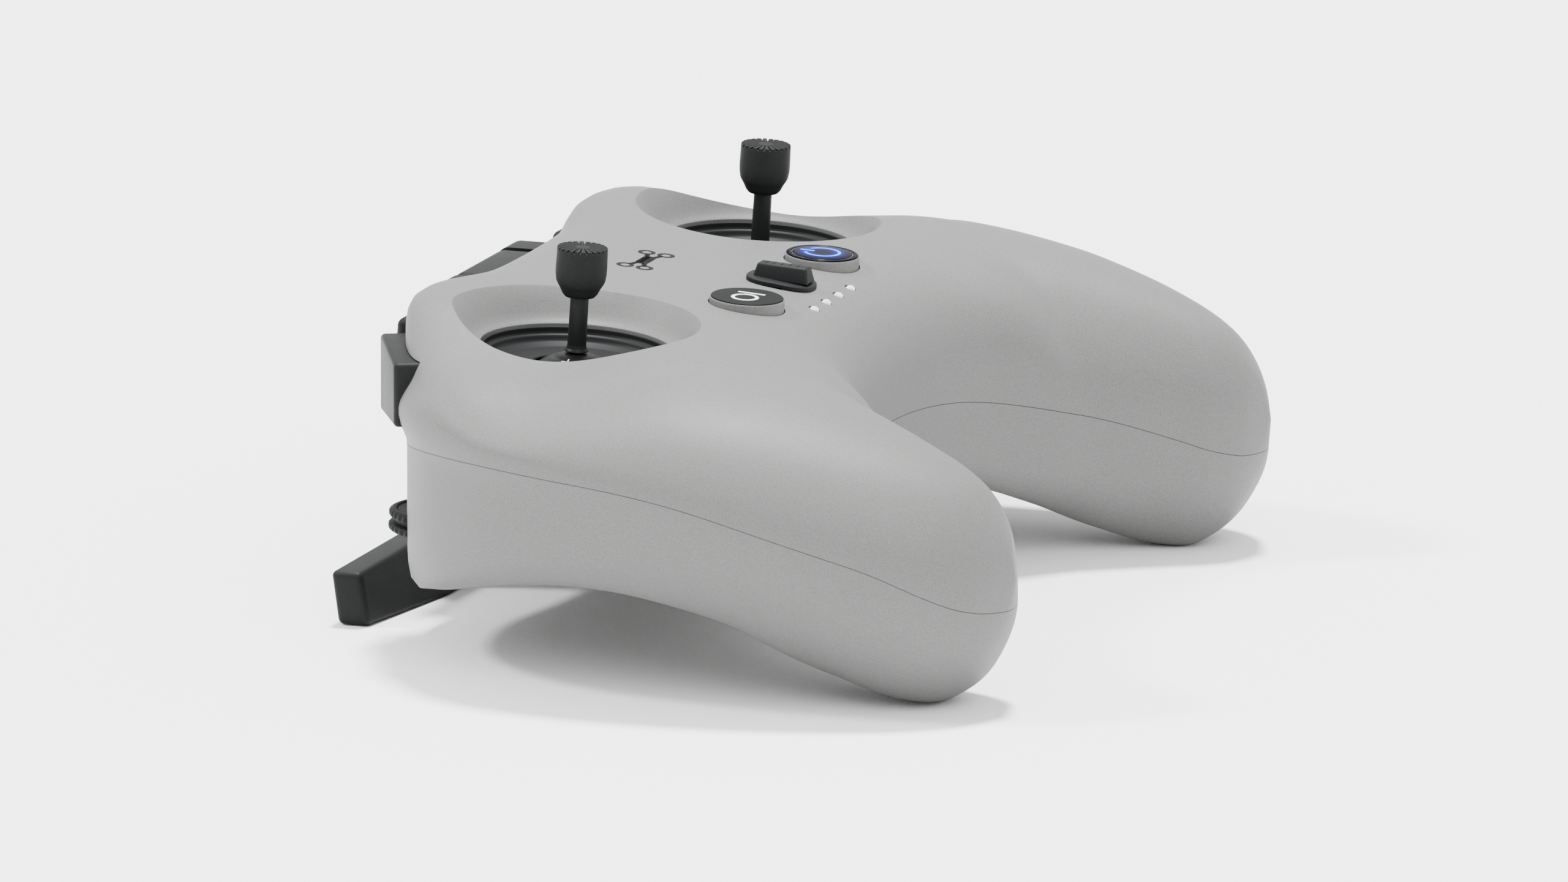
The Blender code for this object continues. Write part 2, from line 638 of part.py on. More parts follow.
def make_antenna():
    hinge = (0, HINGE_Y, HINGE_Z)
    pin_turn = (0, math.pi / 2, 0)
    back = 39.3
    front = HINGE_Y + KNUCKLE / 2
    lugs = box("antenna_hinge_lugs", (2 * LUG_HALF, front - back, KNUCKLE), (0, (front + back) / 2, HINGE_Z),
               BLACK, None, 1.8, 3)
    cut(lugs, cylinder("knuckle_trough", 6.0, STEM_WIDTH + 0.8, hinge, None, CUTTERS, pin_turn, 40))
    cut(lugs, cylinder("pin_bore", 1.35, 2 * LUG_HALF - 4, hinge, None, CUTTERS, pin_turn, 20))
    pin = cylinder("antenna_hinge_pin", 1.1, 2 * LUG_HALF - 4.8, hinge, STEEL, None, pin_turn, 20)
    antenna = box("antenna", (STEM_WIDTH, KNUCKLE, KNUCKLE), hinge, BLACK, None, 2.3, 4)
    foot = Vector((BAR_FRONT - BAR_SECTION[0] / 2 - HINGE_Y - 0.6, 4.5 - HINGE_Z))
    lean = math.atan2(foot.x, -foot.y)
    stem = box("stem", (STEM_WIDTH, 3.6, foot.length), (0, HINGE_Y + foot.x / 2, HINGE_Z + foot.y / 2),
               BLACK, None, 0.6, 2, (lean, 0, 0))
    join(antenna, stem, make_bar())
    cut(antenna, cylinder("barrel_bore", 1.35, 60, hinge, None, CUTTERS, pin_turn, 20))
    for part in (lugs, pin, antenna):
        shade(part)


make_antenna()


# ------------------------------------------------------------------ inside and fasteners
def make_insides():
    main_board = on_deck(box("main_board", (44, 40, 1.6), (0, 0, 0), BOARD), (0, 5, -12.5))
    for x in (-BUTTON_X, BUTTON_X):
        join(main_board, on_deck(box("tact", (6, 6, 4.4), (0, 0, 0), FRAME), (x, BUTTON_Y, -10.4)))
    join(main_board, on_deck(box("slide_switch", (12, 6, 6), (0, 0, 0), FRAME), (0, 0.15, -9.3)))
    pack = box("battery_pack", (12, BATTERY_LENGTH, 14), (0, 12, 27.2), CELL)
    for x in (-10.5, 10.5):
        join(pack, cylinder("cell", 8.6, BATTERY_LENGTH, (x, 12, 27.2), CELL, None, (math.pi / 2, 0, 0), 24))
    shade(pack)
    port = box("usb_port", (9, 7.4, 3.2), (0, CONTACT_Y + 31.6, 22), STEEL, None, 1.2, 3)
    cut(port, box("usb_mouth", (8.2, 8, 2.4), (0, CONTACT_Y + 30.6, 22), None, CUTTERS, 1.0, 3))
    for i, (x, y) in enumerate(SCREW_AT):
        shade(screw("shell_screw_" + str(i + 1), x, y))


def screw(name, x, y):
    """A pan-head screw, head down, sunk in its well in the lower shell."""
    belly = height_on(BELLY_LINE)(y - CONTACT_Y)
    head = belly + 2.4
    return turned(name, [(0, head + 9), (0.9, head + 9), (1.0, head + 1.6), (2.0, head + 1.6), (2.2, head),
                            (0, head)], (x, y, 0), STEEL, steps=16)


make_insides()
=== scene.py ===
"""Looks of the gamepad-style radio transmitter: fine shells, controls, materials, light and camera.

Lengths are in millimetres in the code and become metres when a mesh is made.
"""
import math

import bmesh
import bpy
import numpy as np
from mathutils import Matrix, Vector
from mathutils.bvhtree import BVHTree


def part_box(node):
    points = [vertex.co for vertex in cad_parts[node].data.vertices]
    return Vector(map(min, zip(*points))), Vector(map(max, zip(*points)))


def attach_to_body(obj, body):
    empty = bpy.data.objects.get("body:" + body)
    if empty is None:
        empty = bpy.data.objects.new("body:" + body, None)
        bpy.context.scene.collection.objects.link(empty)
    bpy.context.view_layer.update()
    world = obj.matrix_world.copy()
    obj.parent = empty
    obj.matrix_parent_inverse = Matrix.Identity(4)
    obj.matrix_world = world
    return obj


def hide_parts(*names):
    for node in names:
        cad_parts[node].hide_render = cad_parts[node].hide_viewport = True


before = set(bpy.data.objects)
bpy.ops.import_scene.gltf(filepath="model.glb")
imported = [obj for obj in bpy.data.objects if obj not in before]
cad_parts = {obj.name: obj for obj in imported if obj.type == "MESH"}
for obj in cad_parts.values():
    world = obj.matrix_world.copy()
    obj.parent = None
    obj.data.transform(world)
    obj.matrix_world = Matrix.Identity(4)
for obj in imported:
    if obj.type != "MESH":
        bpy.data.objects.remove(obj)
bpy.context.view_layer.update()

MM = 0.001
DECK_TILT = math.radians(3.7)
DECK = Matrix.Translation((0, 0, 50.55)) @ Matrix.Rotation(DECK_TILT, 4, "X")
STICK_X = 41.8
STICK_Y = 18.45
DISH_R = 19.0
OPENING_R = 14.9
PIVOT_DEPTH = 15.0
BUTTON_X = 17.3
BUTTON_Y = -0.35
BUTTON_R = 5.85
LED_PITCH = 5.57
LED_Y = -8.35
BUMPER_CENTRE = (51.5, 46.3)
BUMPER_ANGLE = math.radians(25.7)
BUMPER_LENGTH = 23.3
BUMPER_TOP = 46.9
FN_X = 34.7
DIAL_AT = (-48.0, 38.4, 19.6)
HINGE = Vector((0, 46.8, 45.6))
KNUCKLE = 9.2
LUG_HALF = 18.5
STEM_WIDTH = 21.6
BAR_HALF = 41.0
BAR_FRONT = 59.8
SIDES = ((-1, "left"), (1, "right"))


# ------------------------------------------------------------------ materials
def nodes_of(name):
    made = bpy.data.materials.new(name)
    made.use_nodes = True
    tree = made.node_tree
    return made, tree, tree.nodes["Principled BSDF"]


def add(tree, kind, **inputs):
    node = tree.nodes.new(kind)
    for key, value in inputs.items():
        node.inputs[key.replace("_", " ")].default_value = value
    return node


def noise(tree, scale, detail=2.0, roughness=0.5):
    place = next((n for n in tree.nodes if n.type == "TEX_COORD"), None)
    place = place or tree.nodes.new("ShaderNodeTexCoord")
    made = add(tree, "ShaderNodeTexNoise", Scale=scale, Detail=detail, Roughness=roughness)
    tree.links.new(place.outputs["Object"], made.inputs["Vector"])
    return made


def ramp_of(tree, source, stops):
    ramp = tree.nodes.new("ShaderNodeValToRGB")
    for element, (at, value) in zip(ramp.color_ramp.elements, stops):
        element.position = at
        element.color = (*value, 1) if len(value) == 3 else value
    tree.links.new(source, ramp.inputs["Fac"])
    return ramp


def moulded(name, dark, light, roughness, grain=0.05, spread=0.06, edge=0.0, specular=0.5):
    """Injection-moulded plastic: a spark-eroded grain, faint speckle and slightly uneven sheen."""
    made, tree, shader = nodes_of(name)
    shader.inputs["Specular IOR Level"].default_value = specular
    speckle = noise(tree, 5200, 3.0, 0.7)
    colour = ramp_of(tree, speckle.outputs["Fac"], ((0.32, dark), (0.68, light)))
    tree.links.new(colour.outputs["Color"], shader.inputs["Base Color"])
    patches = noise(tree, 70, 4.0, 0.6)
    low, high = roughness - spread / 2, roughness + spread / 2
    sheen = ramp_of(tree, patches.outputs["Fac"], ((0.3, (low,) * 3), (0.7, (high,) * 3)))
    tree.links.new(sheen.outputs["Color"], shader.inputs["Roughness"])
    texture = noise(tree, 7000, 2.0, 0.6)
    bump = add(tree, "ShaderNodeBump", Strength=grain, Distance=0.00006)
    tree.links.new(texture.outputs["Fac"], bump.inputs["Height"])
    if edge:
        rounded = add(tree, "ShaderNodeBevel", Radius=edge * MM)
        rounded.samples = 6
        tree.links.new(rounded.outputs["Normal"], bump.inputs["Normal"])
    tree.links.new(bump.outputs["Normal"], shader.inputs["Normal"])
    return made


def metal(name, colour, roughness):
    made, tree, shader = nodes_of(name)
    shader.inputs["Metallic"].default_value = 1.0
    marks = noise(tree, 900, 5.0, 0.7)
    tone = ramp_of(tree, marks.outputs["Fac"],
                   ((0.3, tuple(c * 0.85 for c in colour)), (0.7, colour)))
    tree.links.new(tone.outputs["Color"], shader.inputs["Base Color"])
    haze = ramp_of(tree, marks.outputs["Fac"], ((0.3, (roughness + 0.1,) * 3), (0.7, (roughness,) * 3)))
    tree.links.new(haze.outputs["Color"], shader.inputs["Roughness"])
    return made


def maths(tree, operation, a, b=None):
    node = tree.nodes.new("ShaderNodeMath")
    node.operation = operation
    for socket, value in zip(node.inputs, (a, b)):
        if isinstance(value, (int, float)):
            socket.default_value = value
        elif value is not None:
            tree.links.new(value, socket)
    return node.outputs[0]


def glowing_lens(name):
    """Black gloss lens with a blue halo that follows the lit symbol's ring."""
    made, tree, shader = nodes_of(name)
    shader.inputs["Roughness"].default_value = 0.22
    shader.inputs["Specular IOR Level"].default_value = 0.015
    place = tree.nodes.new("ShaderNodeTexCoord")
    split = tree.nodes.new("ShaderNodeSeparateXYZ")
    tree.links.new(place.outputs["Object"], split.inputs[0])
    x, y = split.outputs["X"], split.outputs["Y"]
    across, along = maths(tree, "MULTIPLY", x, x), maths(tree, "MULTIPLY", y, y)
    radius = maths(tree, "SQRT", maths(tree, "ADD", across, along))
    away = maths(tree, "ABSOLUTE", maths(tree, "SUBTRACT", radius, 2.7 * MM))
    near = maths(tree, "SUBTRACT", 1.0, maths(tree, "DIVIDE", away, 2.1 * MM))
    halo = maths(tree, "POWER", maths(tree, "MAXIMUM", near, 0.0), 3.2)
    grain = noise(tree, 2500)
    uneven = maths(tree, "ADD", maths(tree, "MULTIPLY", grain.outputs["Fac"], 0.2), 0.9)
    glow = ramp_of(tree, maths(tree, "MULTIPLY", halo, uneven),
                   ((0.0, (0.0, 0.0, 0.006)), (1.0, (0.0, 0.035, 0.70))))
    tree.links.new(glow.outputs["Color"], shader.inputs["Emission Color"])
    shader.inputs["Emission Strength"].default_value = 1.7
    shade = ramp_of(tree, grain.outputs["Fac"],
                    ((0.2, (0.0004, 0.0004, 0.0012)), (0.8, (0.0008, 0.0008, 0.0020))))
    tree.links.new(shade.outputs["Color"], shader.inputs["Base Color"])
    return made


def lit(name, colour, strength, roughness=0.3):
    """Ink or a light pipe with its own light, slightly uneven across its area."""
    made, tree, shader = nodes_of(name)
    shader.inputs["Roughness"].default_value = roughness
    uneven = noise(tree, 1500, 3.0)
    tone = ramp_of(tree, uneven.outputs["Fac"],
                   ((0.3, tuple(c * 0.88 for c in colour)), (0.7, colour)))
    tree.links.new(tone.outputs["Color"], shader.inputs["Base Color"])
    tree.links.new(tone.outputs["Color"], shader.inputs["Emission Color"])
    shader.inputs["Emission Strength"].default_value = strength
    shader.inputs["Specular IOR Level"].default_value = 0.2
    return made


SHELL = moulded("shell_grey", (0.092, 0.092, 0.0906), (0.140, 0.140, 0.138), 0.55, 0.08, 0.06, 0.22, 0.25)
INSIDE = moulded("shell_inside", (0.014, 0.014, 0.014), (0.022, 0.022, 0.022), 0.6)
BLACK = moulded("black_plastic", (0.0062, 0.0067, 0.0069), (0.0098, 0.0105, 0.0108),
                0.52, 0.06, 0.08, 0.12, 0.10)
SATIN = moulded("black_satin", (0.0055, 0.0059, 0.0061), (0.0088, 0.0094, 0.0097),
                0.42, 0.03, 0.06, 0.08, 0.12)
RUBBER = moulded("black_rubber", (0.0090, 0.0094, 0.0096), (0.0135, 0.0140, 0.0143),
                 0.62, 0.10, 0.08, 0.08, 0.08)
FRAME = moulded("frame_plastic", (0.014, 0.014, 0.015), (0.022, 0.022, 0.023), 0.55)
INK = moulded("dark_ink", (0.0070, 0.0074, 0.0076), (0.0105, 0.0110, 0.0112), 0.55, 0.03, 0.06, 0.0, 0.05)
FACE = moulded("button_face", (0.0065, 0.0068, 0.0070), (0.0100, 0.0104, 0.0106),
               0.50, 0.04, 0.05, 0.06, 0.04)
GLOSS = moulded("black_gloss", (0.005, 0.005, 0.008), (0.007, 0.007, 0.011), 0.16, 0.01, 0.04, 0.0, 0.6)
LENS = glowing_lens("power_lens")
BLUE = lit("blue_light", (0.0, 0.17, 1.0), 2.4)
WHITE = lit("white_ink", (0.86, 0.87, 0.86), 0.12, 0.5)
PIPE = lit("light_pipe", (0.80, 0.80, 0.80), 0.10, 0.25)
STEEL = metal("steel", (0.58, 0.58, 0.59), 0.28)
BOARD = moulded("circuit_board", (0.010, 0.09, 0.035), (0.016, 0.15, 0.06), 0.4)
CELL = moulded("battery_wrap", (0.03, 0.08, 0.22), (0.05, 0.12, 0.30), 0.35)


# ------------------------------------------------------------------ mesh helpers
def mesh_from(name, points, faces, mats, smooth=32, matrix=None):
    """A mesh object from points in millimetres; matrix is in millimetres too."""
    mesh = bpy.data.meshes.new(name)
    mesh.from_pydata([tuple(float(c) * MM for c in p) for p in points], [], [tuple(f) for f in faces])
    for mat in mats:
        mesh.materials.append(mat)
    obj = bpy.data.objects.new(name, mesh)
    bpy.context.scene.collection.objects.link(obj)
    if matrix is not None:
        place = matrix.copy()
        place.translation = matrix.translation * MM
        obj.matrix_world = place
    if smooth:
        shade(obj, smooth)
    return obj


def shade(obj, angle=32):
    obj.data.shade_smooth()
    obj.data.set_sharp_from_angle(angle=math.radians(angle))


def outward(obj):
    work = bmesh.new()
    work.from_mesh(obj.data)
    bmesh.ops.remove_doubles(work, verts=work.verts[:], dist=1e-7)
    bmesh.ops.recalc_face_normals(work, faces=work.faces[:])
    work.to_mesh(obj.data)
    work.free()
    return obj


def attach(obj, body, slot, *nodes):
    """Rides on a body and stands for CAD nodes, which it hides. The slot argument is not used."""
    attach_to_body(obj, body)
    if nodes:
        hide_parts(*nodes)
    return obj


def at(x, y, z=0.0, base=DECK):
    return base @ Matrix.Translation((x, y, z))


def fillet(corners, steps=5):
    """A polyline from (r, z, radius) corners; a radius rounds its corner with an arc."""
    line = []
    for i, (x, z, radius) in enumerate(corners):
        here = Vector((x, z))
        if not radius or i in (0, len(corners) - 1):
            line.append((x, z))
            continue
        back = Vector(corners[i - 1][:2]) - here
        on = Vector(corners[i + 1][:2]) - here
        turn = back.angle(on)
        reach = min(radius / math.tan(turn / 2), back.length * 0.49, on.length * 0.49)
        start, end = here + back.normalized() * reach, here + on.normalized() * reach
        for k in range(steps + 1):
            u = k / steps
            line.append(tuple(start * (1 - u) ** 2 + here * 2 * u * (1 - u) + end * u ** 2))
    return line


def turned(profile, steps=96, bend=None):
    """Points and faces of a surface of revolution about Z; bend(r, z, angle) may move its points."""
    points, rows = [], []
    for r, z in profile:
        if r < 1e-6:
            rows.append([len(points)] * steps)
            points.append((0, 0, z))
            continue
        row = []
        for j in range(steps):
            angle = 2 * math.pi * j / steps
            rr, zz = bend(r, z, angle) if bend else (r, z)
            row.append(len(points))
            points.append((rr * math.cos(angle), rr * math.sin(angle), zz))
        rows.append(row)
    faces = []
    for upper, lower in zip(rows, rows[1:]):
        for j in range(steps):
            k = (j + 1) % steps
            face = [upper[j], lower[j], lower[k], upper[k]]
            face = list(dict.fromkeys(face))
            if len(face) > 2:
                faces.append(face)
    return points, faces


def turned_piece(name, corners, mat, matrix, steps=96, bend=None, smooth=32):
    points, faces = turned(fillet(corners), steps, bend)
    return outward_shaded(mesh_from(name, points, faces, [mat], 0, matrix), smooth)


def outward_shaded(obj, angle=32):
    outward(obj)
    shade(obj, angle)
    return obj


def block(name, size, matrix, mat, bevel, segments=5, shape=None):
    """A block with rounded edges; shape(point) may move its eight corners first."""
    work = bmesh.new()
    bmesh.ops.create_cube(work, size=1)
    for v in work.verts:
        v.co = Vector((v.co.x * size[0], v.co.y * size[1], v.co.z * size[2]))
        if shape:
            v.co = Vector(shape(v.co))
    if bevel:
        bmesh.ops.bevel(work, geom=work.edges[:], offset=bevel, segments=segments, profile=0.5,
                        affect="EDGES", clamp_overlap=True)
    points = [v.co.copy() for v in work.verts]
    work.verts.index_update()
    faces = [[v.index for v in f.verts] for f in work.faces]
    work.free()
    return mesh_from(name, points, faces, [mat], 40, matrix)


def fused(name, objects, mats):
    """One object from several, with their places applied."""
    work = bmesh.new()
    bpy.context.view_layer.update()
    for obj in objects:
        data = obj.data
        data.transform(obj.matrix_world)
        work.from_mesh(data)
        bpy.data.objects.remove(obj)
    mesh = bpy.data.meshes.new(name)
    work.to_mesh(mesh)
    work.free()
    for mat in mats:
        mesh.materials.append(mat)
    made = bpy.data.objects.new(name, mesh)
    bpy.context.scene.collection.objects.link(made)
    return made


def boolean(obj, other, operation="DIFFERENCE"):
    step = obj.modifiers.new("cut", "BOOLEAN")
    step.operation = operation
    step.object = other
    step.solver = "EXACT"
    step.material_mode = "INDEX"
    bpy.context.view_layer.update()
    graph = bpy.context.evaluated_depsgraph_get()
    data = bpy.data.meshes.new_from_object(obj.evaluated_get(graph))
    obj.modifiers.clear()
    obj.data = data
    bpy.data.objects.remove(other)
    return obj


# ------------------------------------------------------------------ body loft
CONTACT_Y = -44.85
SHOULDER_DROP = 4.5
PARTING_RISE = 1.8  # how far the joint line bows up along each outer side
PARTING_GAP = 0.06
INNER_EDGE = [(0, 27.6), (12, 26.8), (22, 24.3), (29, 20.5), (34, 16), (38, 11.5), (41, 8),
              (43.5, 4), (45.5, 0.5), (48, -4), (50.5, -8.8), (54, -12.6), (61, -14.8)]
OUTER_EDGE = [(0, 89.2), (17, 89.8), (34, 92.0), (48, 90.7), (60, 86.5), (70.5, 78.4), (78, 66.5),
              (81.5, 51), (82.5, 34), (81, 16), (77, 0), (70.5, -10), (61, -14.8)]
TOP_LINE = [(-14.8, 20.5), (-13.6, 26.5), (-10, 32.6), (-5, 36.6), (3, 40.4), (12.7, 44), (20, 46.2),
            (33, 49), (44.5, 50.5), (63.6, 51.9), (80, 53.6), (96, 55.6)]
BELLY_LINE = [(-14.8, 20.5), (-13.6, 13), (-10, 5.6), (-6, 1.8), (-1.5, 0), (5, 0.6), (12, 3.1),
              (18.5, 6), (28, 11.3), (40, 14.9), (50, 16.2), (60, 15.9), (70, 14.1), (80, 11.3), (88, 8.6),
              (96, 7.6)]
WIDEST_LINE = [(-14.8, 20.5), (-13, 16), (-9, 16.5), (-4, 18.5), (4, 22), (17, 26), (30, 30),
               (43, 33.3), (56, 36.3), (79, 38.8), (96, 38.8)]
PARTING_LINE = [(-30, 14.9), (-17, 15.2), (-10, 16.6), (-4, 18.8), (4, 21.9), (17, 26), (30, 29.7),
                (43, 32.5), (56, 34.4), (65, 35.4), (72, 35.5), (79, 34.9), (86, 33.4), (92, 32.2), (110, 30)]


def smooth_path(keys, count, flat_start=False):
    keys = np.array(keys, float)
    last = len(keys) - 1
    slopes = np.zeros_like(keys)
    slopes[1:-1] = (keys[2:] - keys[:-2]) / 2
    slopes[0] = keys[1] - keys[0]
    slopes[-1] = keys[-1] - keys[-2]
    if flat_start:
        slopes[0][1] = 0
    s = np.linspace(0, last, count)
    k = np.minimum(s.astype(int), last - 1)
    u = (s - k)[:, None]
    return (keys[k] * (2 * u**3 - 3 * u**2 + 1) + slopes[k] * (u**3 - 2 * u**2 + u)
            + keys[k + 1] * (3 * u**2 - 2 * u**3) + slopes[k + 1] * (u**3 - u**2))


def height(line, y):
    path = smooth_path(line, 800)
    return np.interp(y, path[:, 0], path[:, 1])


def ease(low, high, x):
    u = np.clip((x - low) / (high - low), 0, 1)
    return u * u * (3 - 2 * u)


def loft(rings, count, wall=0.0, last_share=1.0):
    """Body surface as a grid of rings from the centre plane to a grip's tip, mirrored and closed."""
    inner = smooth_path(INNER_EDGE, rings, True)
    outer = smooth_path(OUTER_EDGE, rings, True)
    angle = 2 * np.pi * np.arange(count) / count
    across, rise = np.cos(angle), np.sin(angle)
    upper, front = rise >= 0, across > 0
    grid = []
    for i in range(rings - 1):
        s = i / (rings - 1)
        if s > last_share:
            break
        grip, slim, full = ease(0.25, 0.75, s), ease(0.26, 0.52, s), 6.0 + 5.0 * ease(0.08, 0.2, s)
        over_out, over_in = full - (full - 1.95) * slim ** 0.5, 4.0 - 1.8 * ease(0, 1, slim)
        under_out, under_in = 14.0 - 11.9 * grip, 4.0 - 1.8 * grip
        power = np.where(upper, np.where(front, over_out, over_in), np.where(front, under_out, under_in))
        crest = np.where(upper, -0.4 * slim, -0.42 * ease(0, 0.8, grip))
        reach = (np.abs(across) ** power + np.abs(rise) ** power) ** (-1 / power)
        t = crest + (np.where(front, 1.0, -1.0) - crest) * reach * np.abs(across)
        lift = reach * np.abs(rise)
        middle, half = (inner[i] + outer[i]) / 2, (outer[i] - inner[i]) / 2
        length = np.hypot(*half)
        half = half * max(length - wall, 0.4) / length
        spot = middle + half * t[:, None]
        widest = height(WIDEST_LINE, spot[:, 1])
        fall = SHOULDER_DROP * ease(44, 64, np.abs(spot[:, 0])) * ease(36, 66, spot[:, 1])
        top = np.maximum(height(TOP_LINE, spot[:, 1]) - fall - wall, widest + 0.3)
        belly = np.minimum(np.maximum(height(BELLY_LINE, spot[:, 1]), 0.0) + wall, widest - 0.3)
        z = np.where(upper, widest + (top - widest) * lift, widest + (belly - widest) * lift)
        step_back = np.where(~upper & front, 0.055 * (1 - grip) * ease(0, 5.4, widest - z), 0.0)
        spot = middle + half * (t * (1 - step_back))[:, None]
        along = (spot[:, 0] - 51.5) * 0.901 - (spot[:, 1] - 91.15) * 0.434
        back = 2.4 * ease(-14, 8, along) * (1 - ease(16, 30, along)) * ease(40, 46, z)
        back = np.where(upper, back * ease(0.35, 0.85, t), 0.0)
        spot = spot - back[:, None] * np.array([0.434, 0.901])
        grid.append(np.column_stack([spot[:, 0] * 0.9985, spot[:, 1] + CONTACT_Y, z]))
    points = [p for ring in grid for p in ring]
    faces = []
    for i in range(len(grid) - 1):
        for j in range(count):
            a, b = i * count + j, i * count + (j + 1) % count
            faces.append((a, b, b + count, a + count))
    tip = len(points)
    if last_share < 1:
        points.append(np.mean(grid[-1], axis=0))
    else:
        points.append(np.array([inner[-1][0], inner[-1][1] + CONTACT_Y, TOP_LINE[0][1]]))
    base = (len(grid) - 1) * count
    faces += [(base + j, base + (j + 1) % count, tip) for j in range(count)]
    total = len(points)
    flip = [np.array([-p[0], p[1], p[2]]) for p in points]
    return points + flip, faces + [tuple(v + total for v in reversed(f)) for f in faces]


def body_object(name, rings, count, index, wall=0.0, last_share=1.0):
    points, faces = loft(rings, count, wall, last_share)
    obj = mesh_from(name, points, faces, [SHELL, INSIDE], 0)
    outward(obj)
    obj.data.polygons.foreach_set("material_index", [index] * len(obj.data.polygons))
    return obj


def cutter(name, points, faces, index, matrix=None):
    obj = mesh_from(name, points, faces, [SHELL, INSIDE], 0, matrix)
    outward(obj)
    obj.data.polygons.foreach_set("material_index", [index] * len(obj.data.polygons))
    return obj


def round_cutter(radius, low, high, matrix, index=1, steps=96):
    points, faces = turned([(0, high), (radius, high), (radius, low), (0, low)], steps)
    return cutter("round_cut", points, faces, index, matrix)


def block_cutter(size, matrix, index=1, bevel=0.0):
    obj = block("block_cut", size, matrix, SHELL, bevel)
    obj.data.materials.append(INSIDE)
    obj.data.polygons.foreach_set("material_index", [index] * len(obj.data.polygons))
    return obj


def joined_cutters(cutters):
    work = fused("cutters", cutters, [SHELL, INSIDE])
    return work


def parting_block(above):
    """Everything above, or below, the joint line between the shells; the line bows up at the sides."""
    edge = smooth_path(PARTING_LINE, 160)
    shift = PARTING_GAP / 2 if above else -PARTING_GAP / 2
    far = 90 if above else -30
    stations = (-95, -84, -76, -66, -56, -45, 45, 56, 66, 76, 84, 95)
    points = []
    for x in stations:
        lift = PARTING_RISE * ease(45, 80, abs(x)) * ease(-16, 6, edge[:, 0]) * (1 - ease(30, 72, edge[:, 0]))
        points += [(x, y + CONTACT_Y, z + shift + up) for (y, z), up in zip(edge, lift)]
        points += [(x, edge[-1][0] + CONTACT_Y, far), (x, edge[0][0] + CONTACT_Y, far)]
    count, last = len(edge) + 2, (len(stations) - 1) * (len(edge) + 2)
    faces = [tuple(range(count)), tuple(range(last + count - 1, last - 1, -1))]
    for k in range(len(stations) - 1):
        a = k * count
        faces += [(a + i, a + i + count, a + (i + 1) % count + count, a + (i + 1) % count)
                  for i in range(count)]
    return cutter("parting", points, faces, 1)


def bumper_matrix(side):
    angle = -side * BUMPER_ANGLE
    return Matrix.Translation((side * BUMPER_CENTRE[0], BUMPER_CENTRE[1], 0)) @ Matrix.Rotation(angle, 4, "Z")


def bumper_shape(side, grow, front, back):
    """Corners of a bumper: its lower edge rises towards the outer end."""
    def shape(co):
        outer_end = co.x * side > 0
        x = math.copysign(BUMPER_LENGTH / 2 + grow, co.x)
        y = front if co.y > 0 else -back
        low = 36.9 if outer_end else 34.6
        return (x, y, BUMPER_TOP + grow if co.z > 0 else low - grow)
    return shape


def dish_cutter(side):
    """Sloping thumb dish: a steep outer wall that eases into a narrow lip round the opening."""
    line = [(DISH_R + 4.6, 4.2), (DISH_R + 0.15, 0.15), (DISH_R - 1.3, -1.6), (DISH_R - 2.2, -2.9),
            (DISH_R - 2.9, -3.7), (DISH_R - 3.5, -4.15), (OPENING_R + 0.12, -4.38), (OPENING_R, -4.5)]
    profile = [(0, 6)] + [(DISH_R + 6, 6)] + line + [(OPENING_R, -4.9), (OPENING_R, -14), (0, -14)]
    points, faces = turned(profile, 160)
    obj = cutter("dish", points, faces, 0, at(side * STICK_X, STICK_Y))
    return obj


def true_normals(obj, points, faces):
    """Gives the outer skin the normals of the uncut body, so that cuts leave no ripples."""
    smooth = bpy.data.meshes.new("smooth_body")
    smooth.from_pydata([tuple(c * MM for c in p) for p in points], [], faces)
    work = bmesh.new()
    work.from_mesh(smooth)
    bmesh.ops.remove_doubles(work, verts=work.verts[:], dist=1e-7)
    bmesh.ops.recalc_face_normals(work, faces=work.faces[:])
    bmesh.ops.triangulate(work, faces=work.faces[:])
    work.normal_update()
    work.faces.ensure_lookup_table()
    tree = BVHTree.FromBMesh(work)
    mesh = obj.data
    shade(obj, 28)
    normals = [Vector(n.vector) for n in mesh.corner_normals]
    cache = {}
    for face in mesh.polygons:
        if face.material_index != 0:
            continue
        for loop in face.loop_indices:
            index = mesh.loops[loop].vertex_index
            if index not in cache:
                co = mesh.vertices[index].co
                spot, _, hit, distance = tree.find_nearest(co)
                if distance is None or distance > 2e-5:
                    cache[index] = None
                else:
                    a, b, c = work.faces[hit].verts
                    cache[index] = barycentric(spot, a, b, c)
            if cache[index] is not None and cache[index].dot(face.normal) > 0.8:
                normals[loop] = cache[index]
    mesh.normals_split_custom_set(normals)
    work.free()


def barycentric(spot, a, b, c):
    ab, ac, ap = b.co - a.co, c.co - a.co, spot - a.co
    d00, d01, d11 = ab.dot(ab), ab.dot(ac), ac.dot(ac)
    d20, d21 = ap.dot(ab), ap.dot(ac)
    below = d00 * d11 - d01 * d01
    if abs(below) < 1e-20:
        return a.normal.copy()
    v, w = (d11 * d20 - d01 * d21) / below, (d00 * d21 - d01 * d20) / below
    return (a.normal * (1 - v - w) + b.normal * v + c.normal * w).normalized()


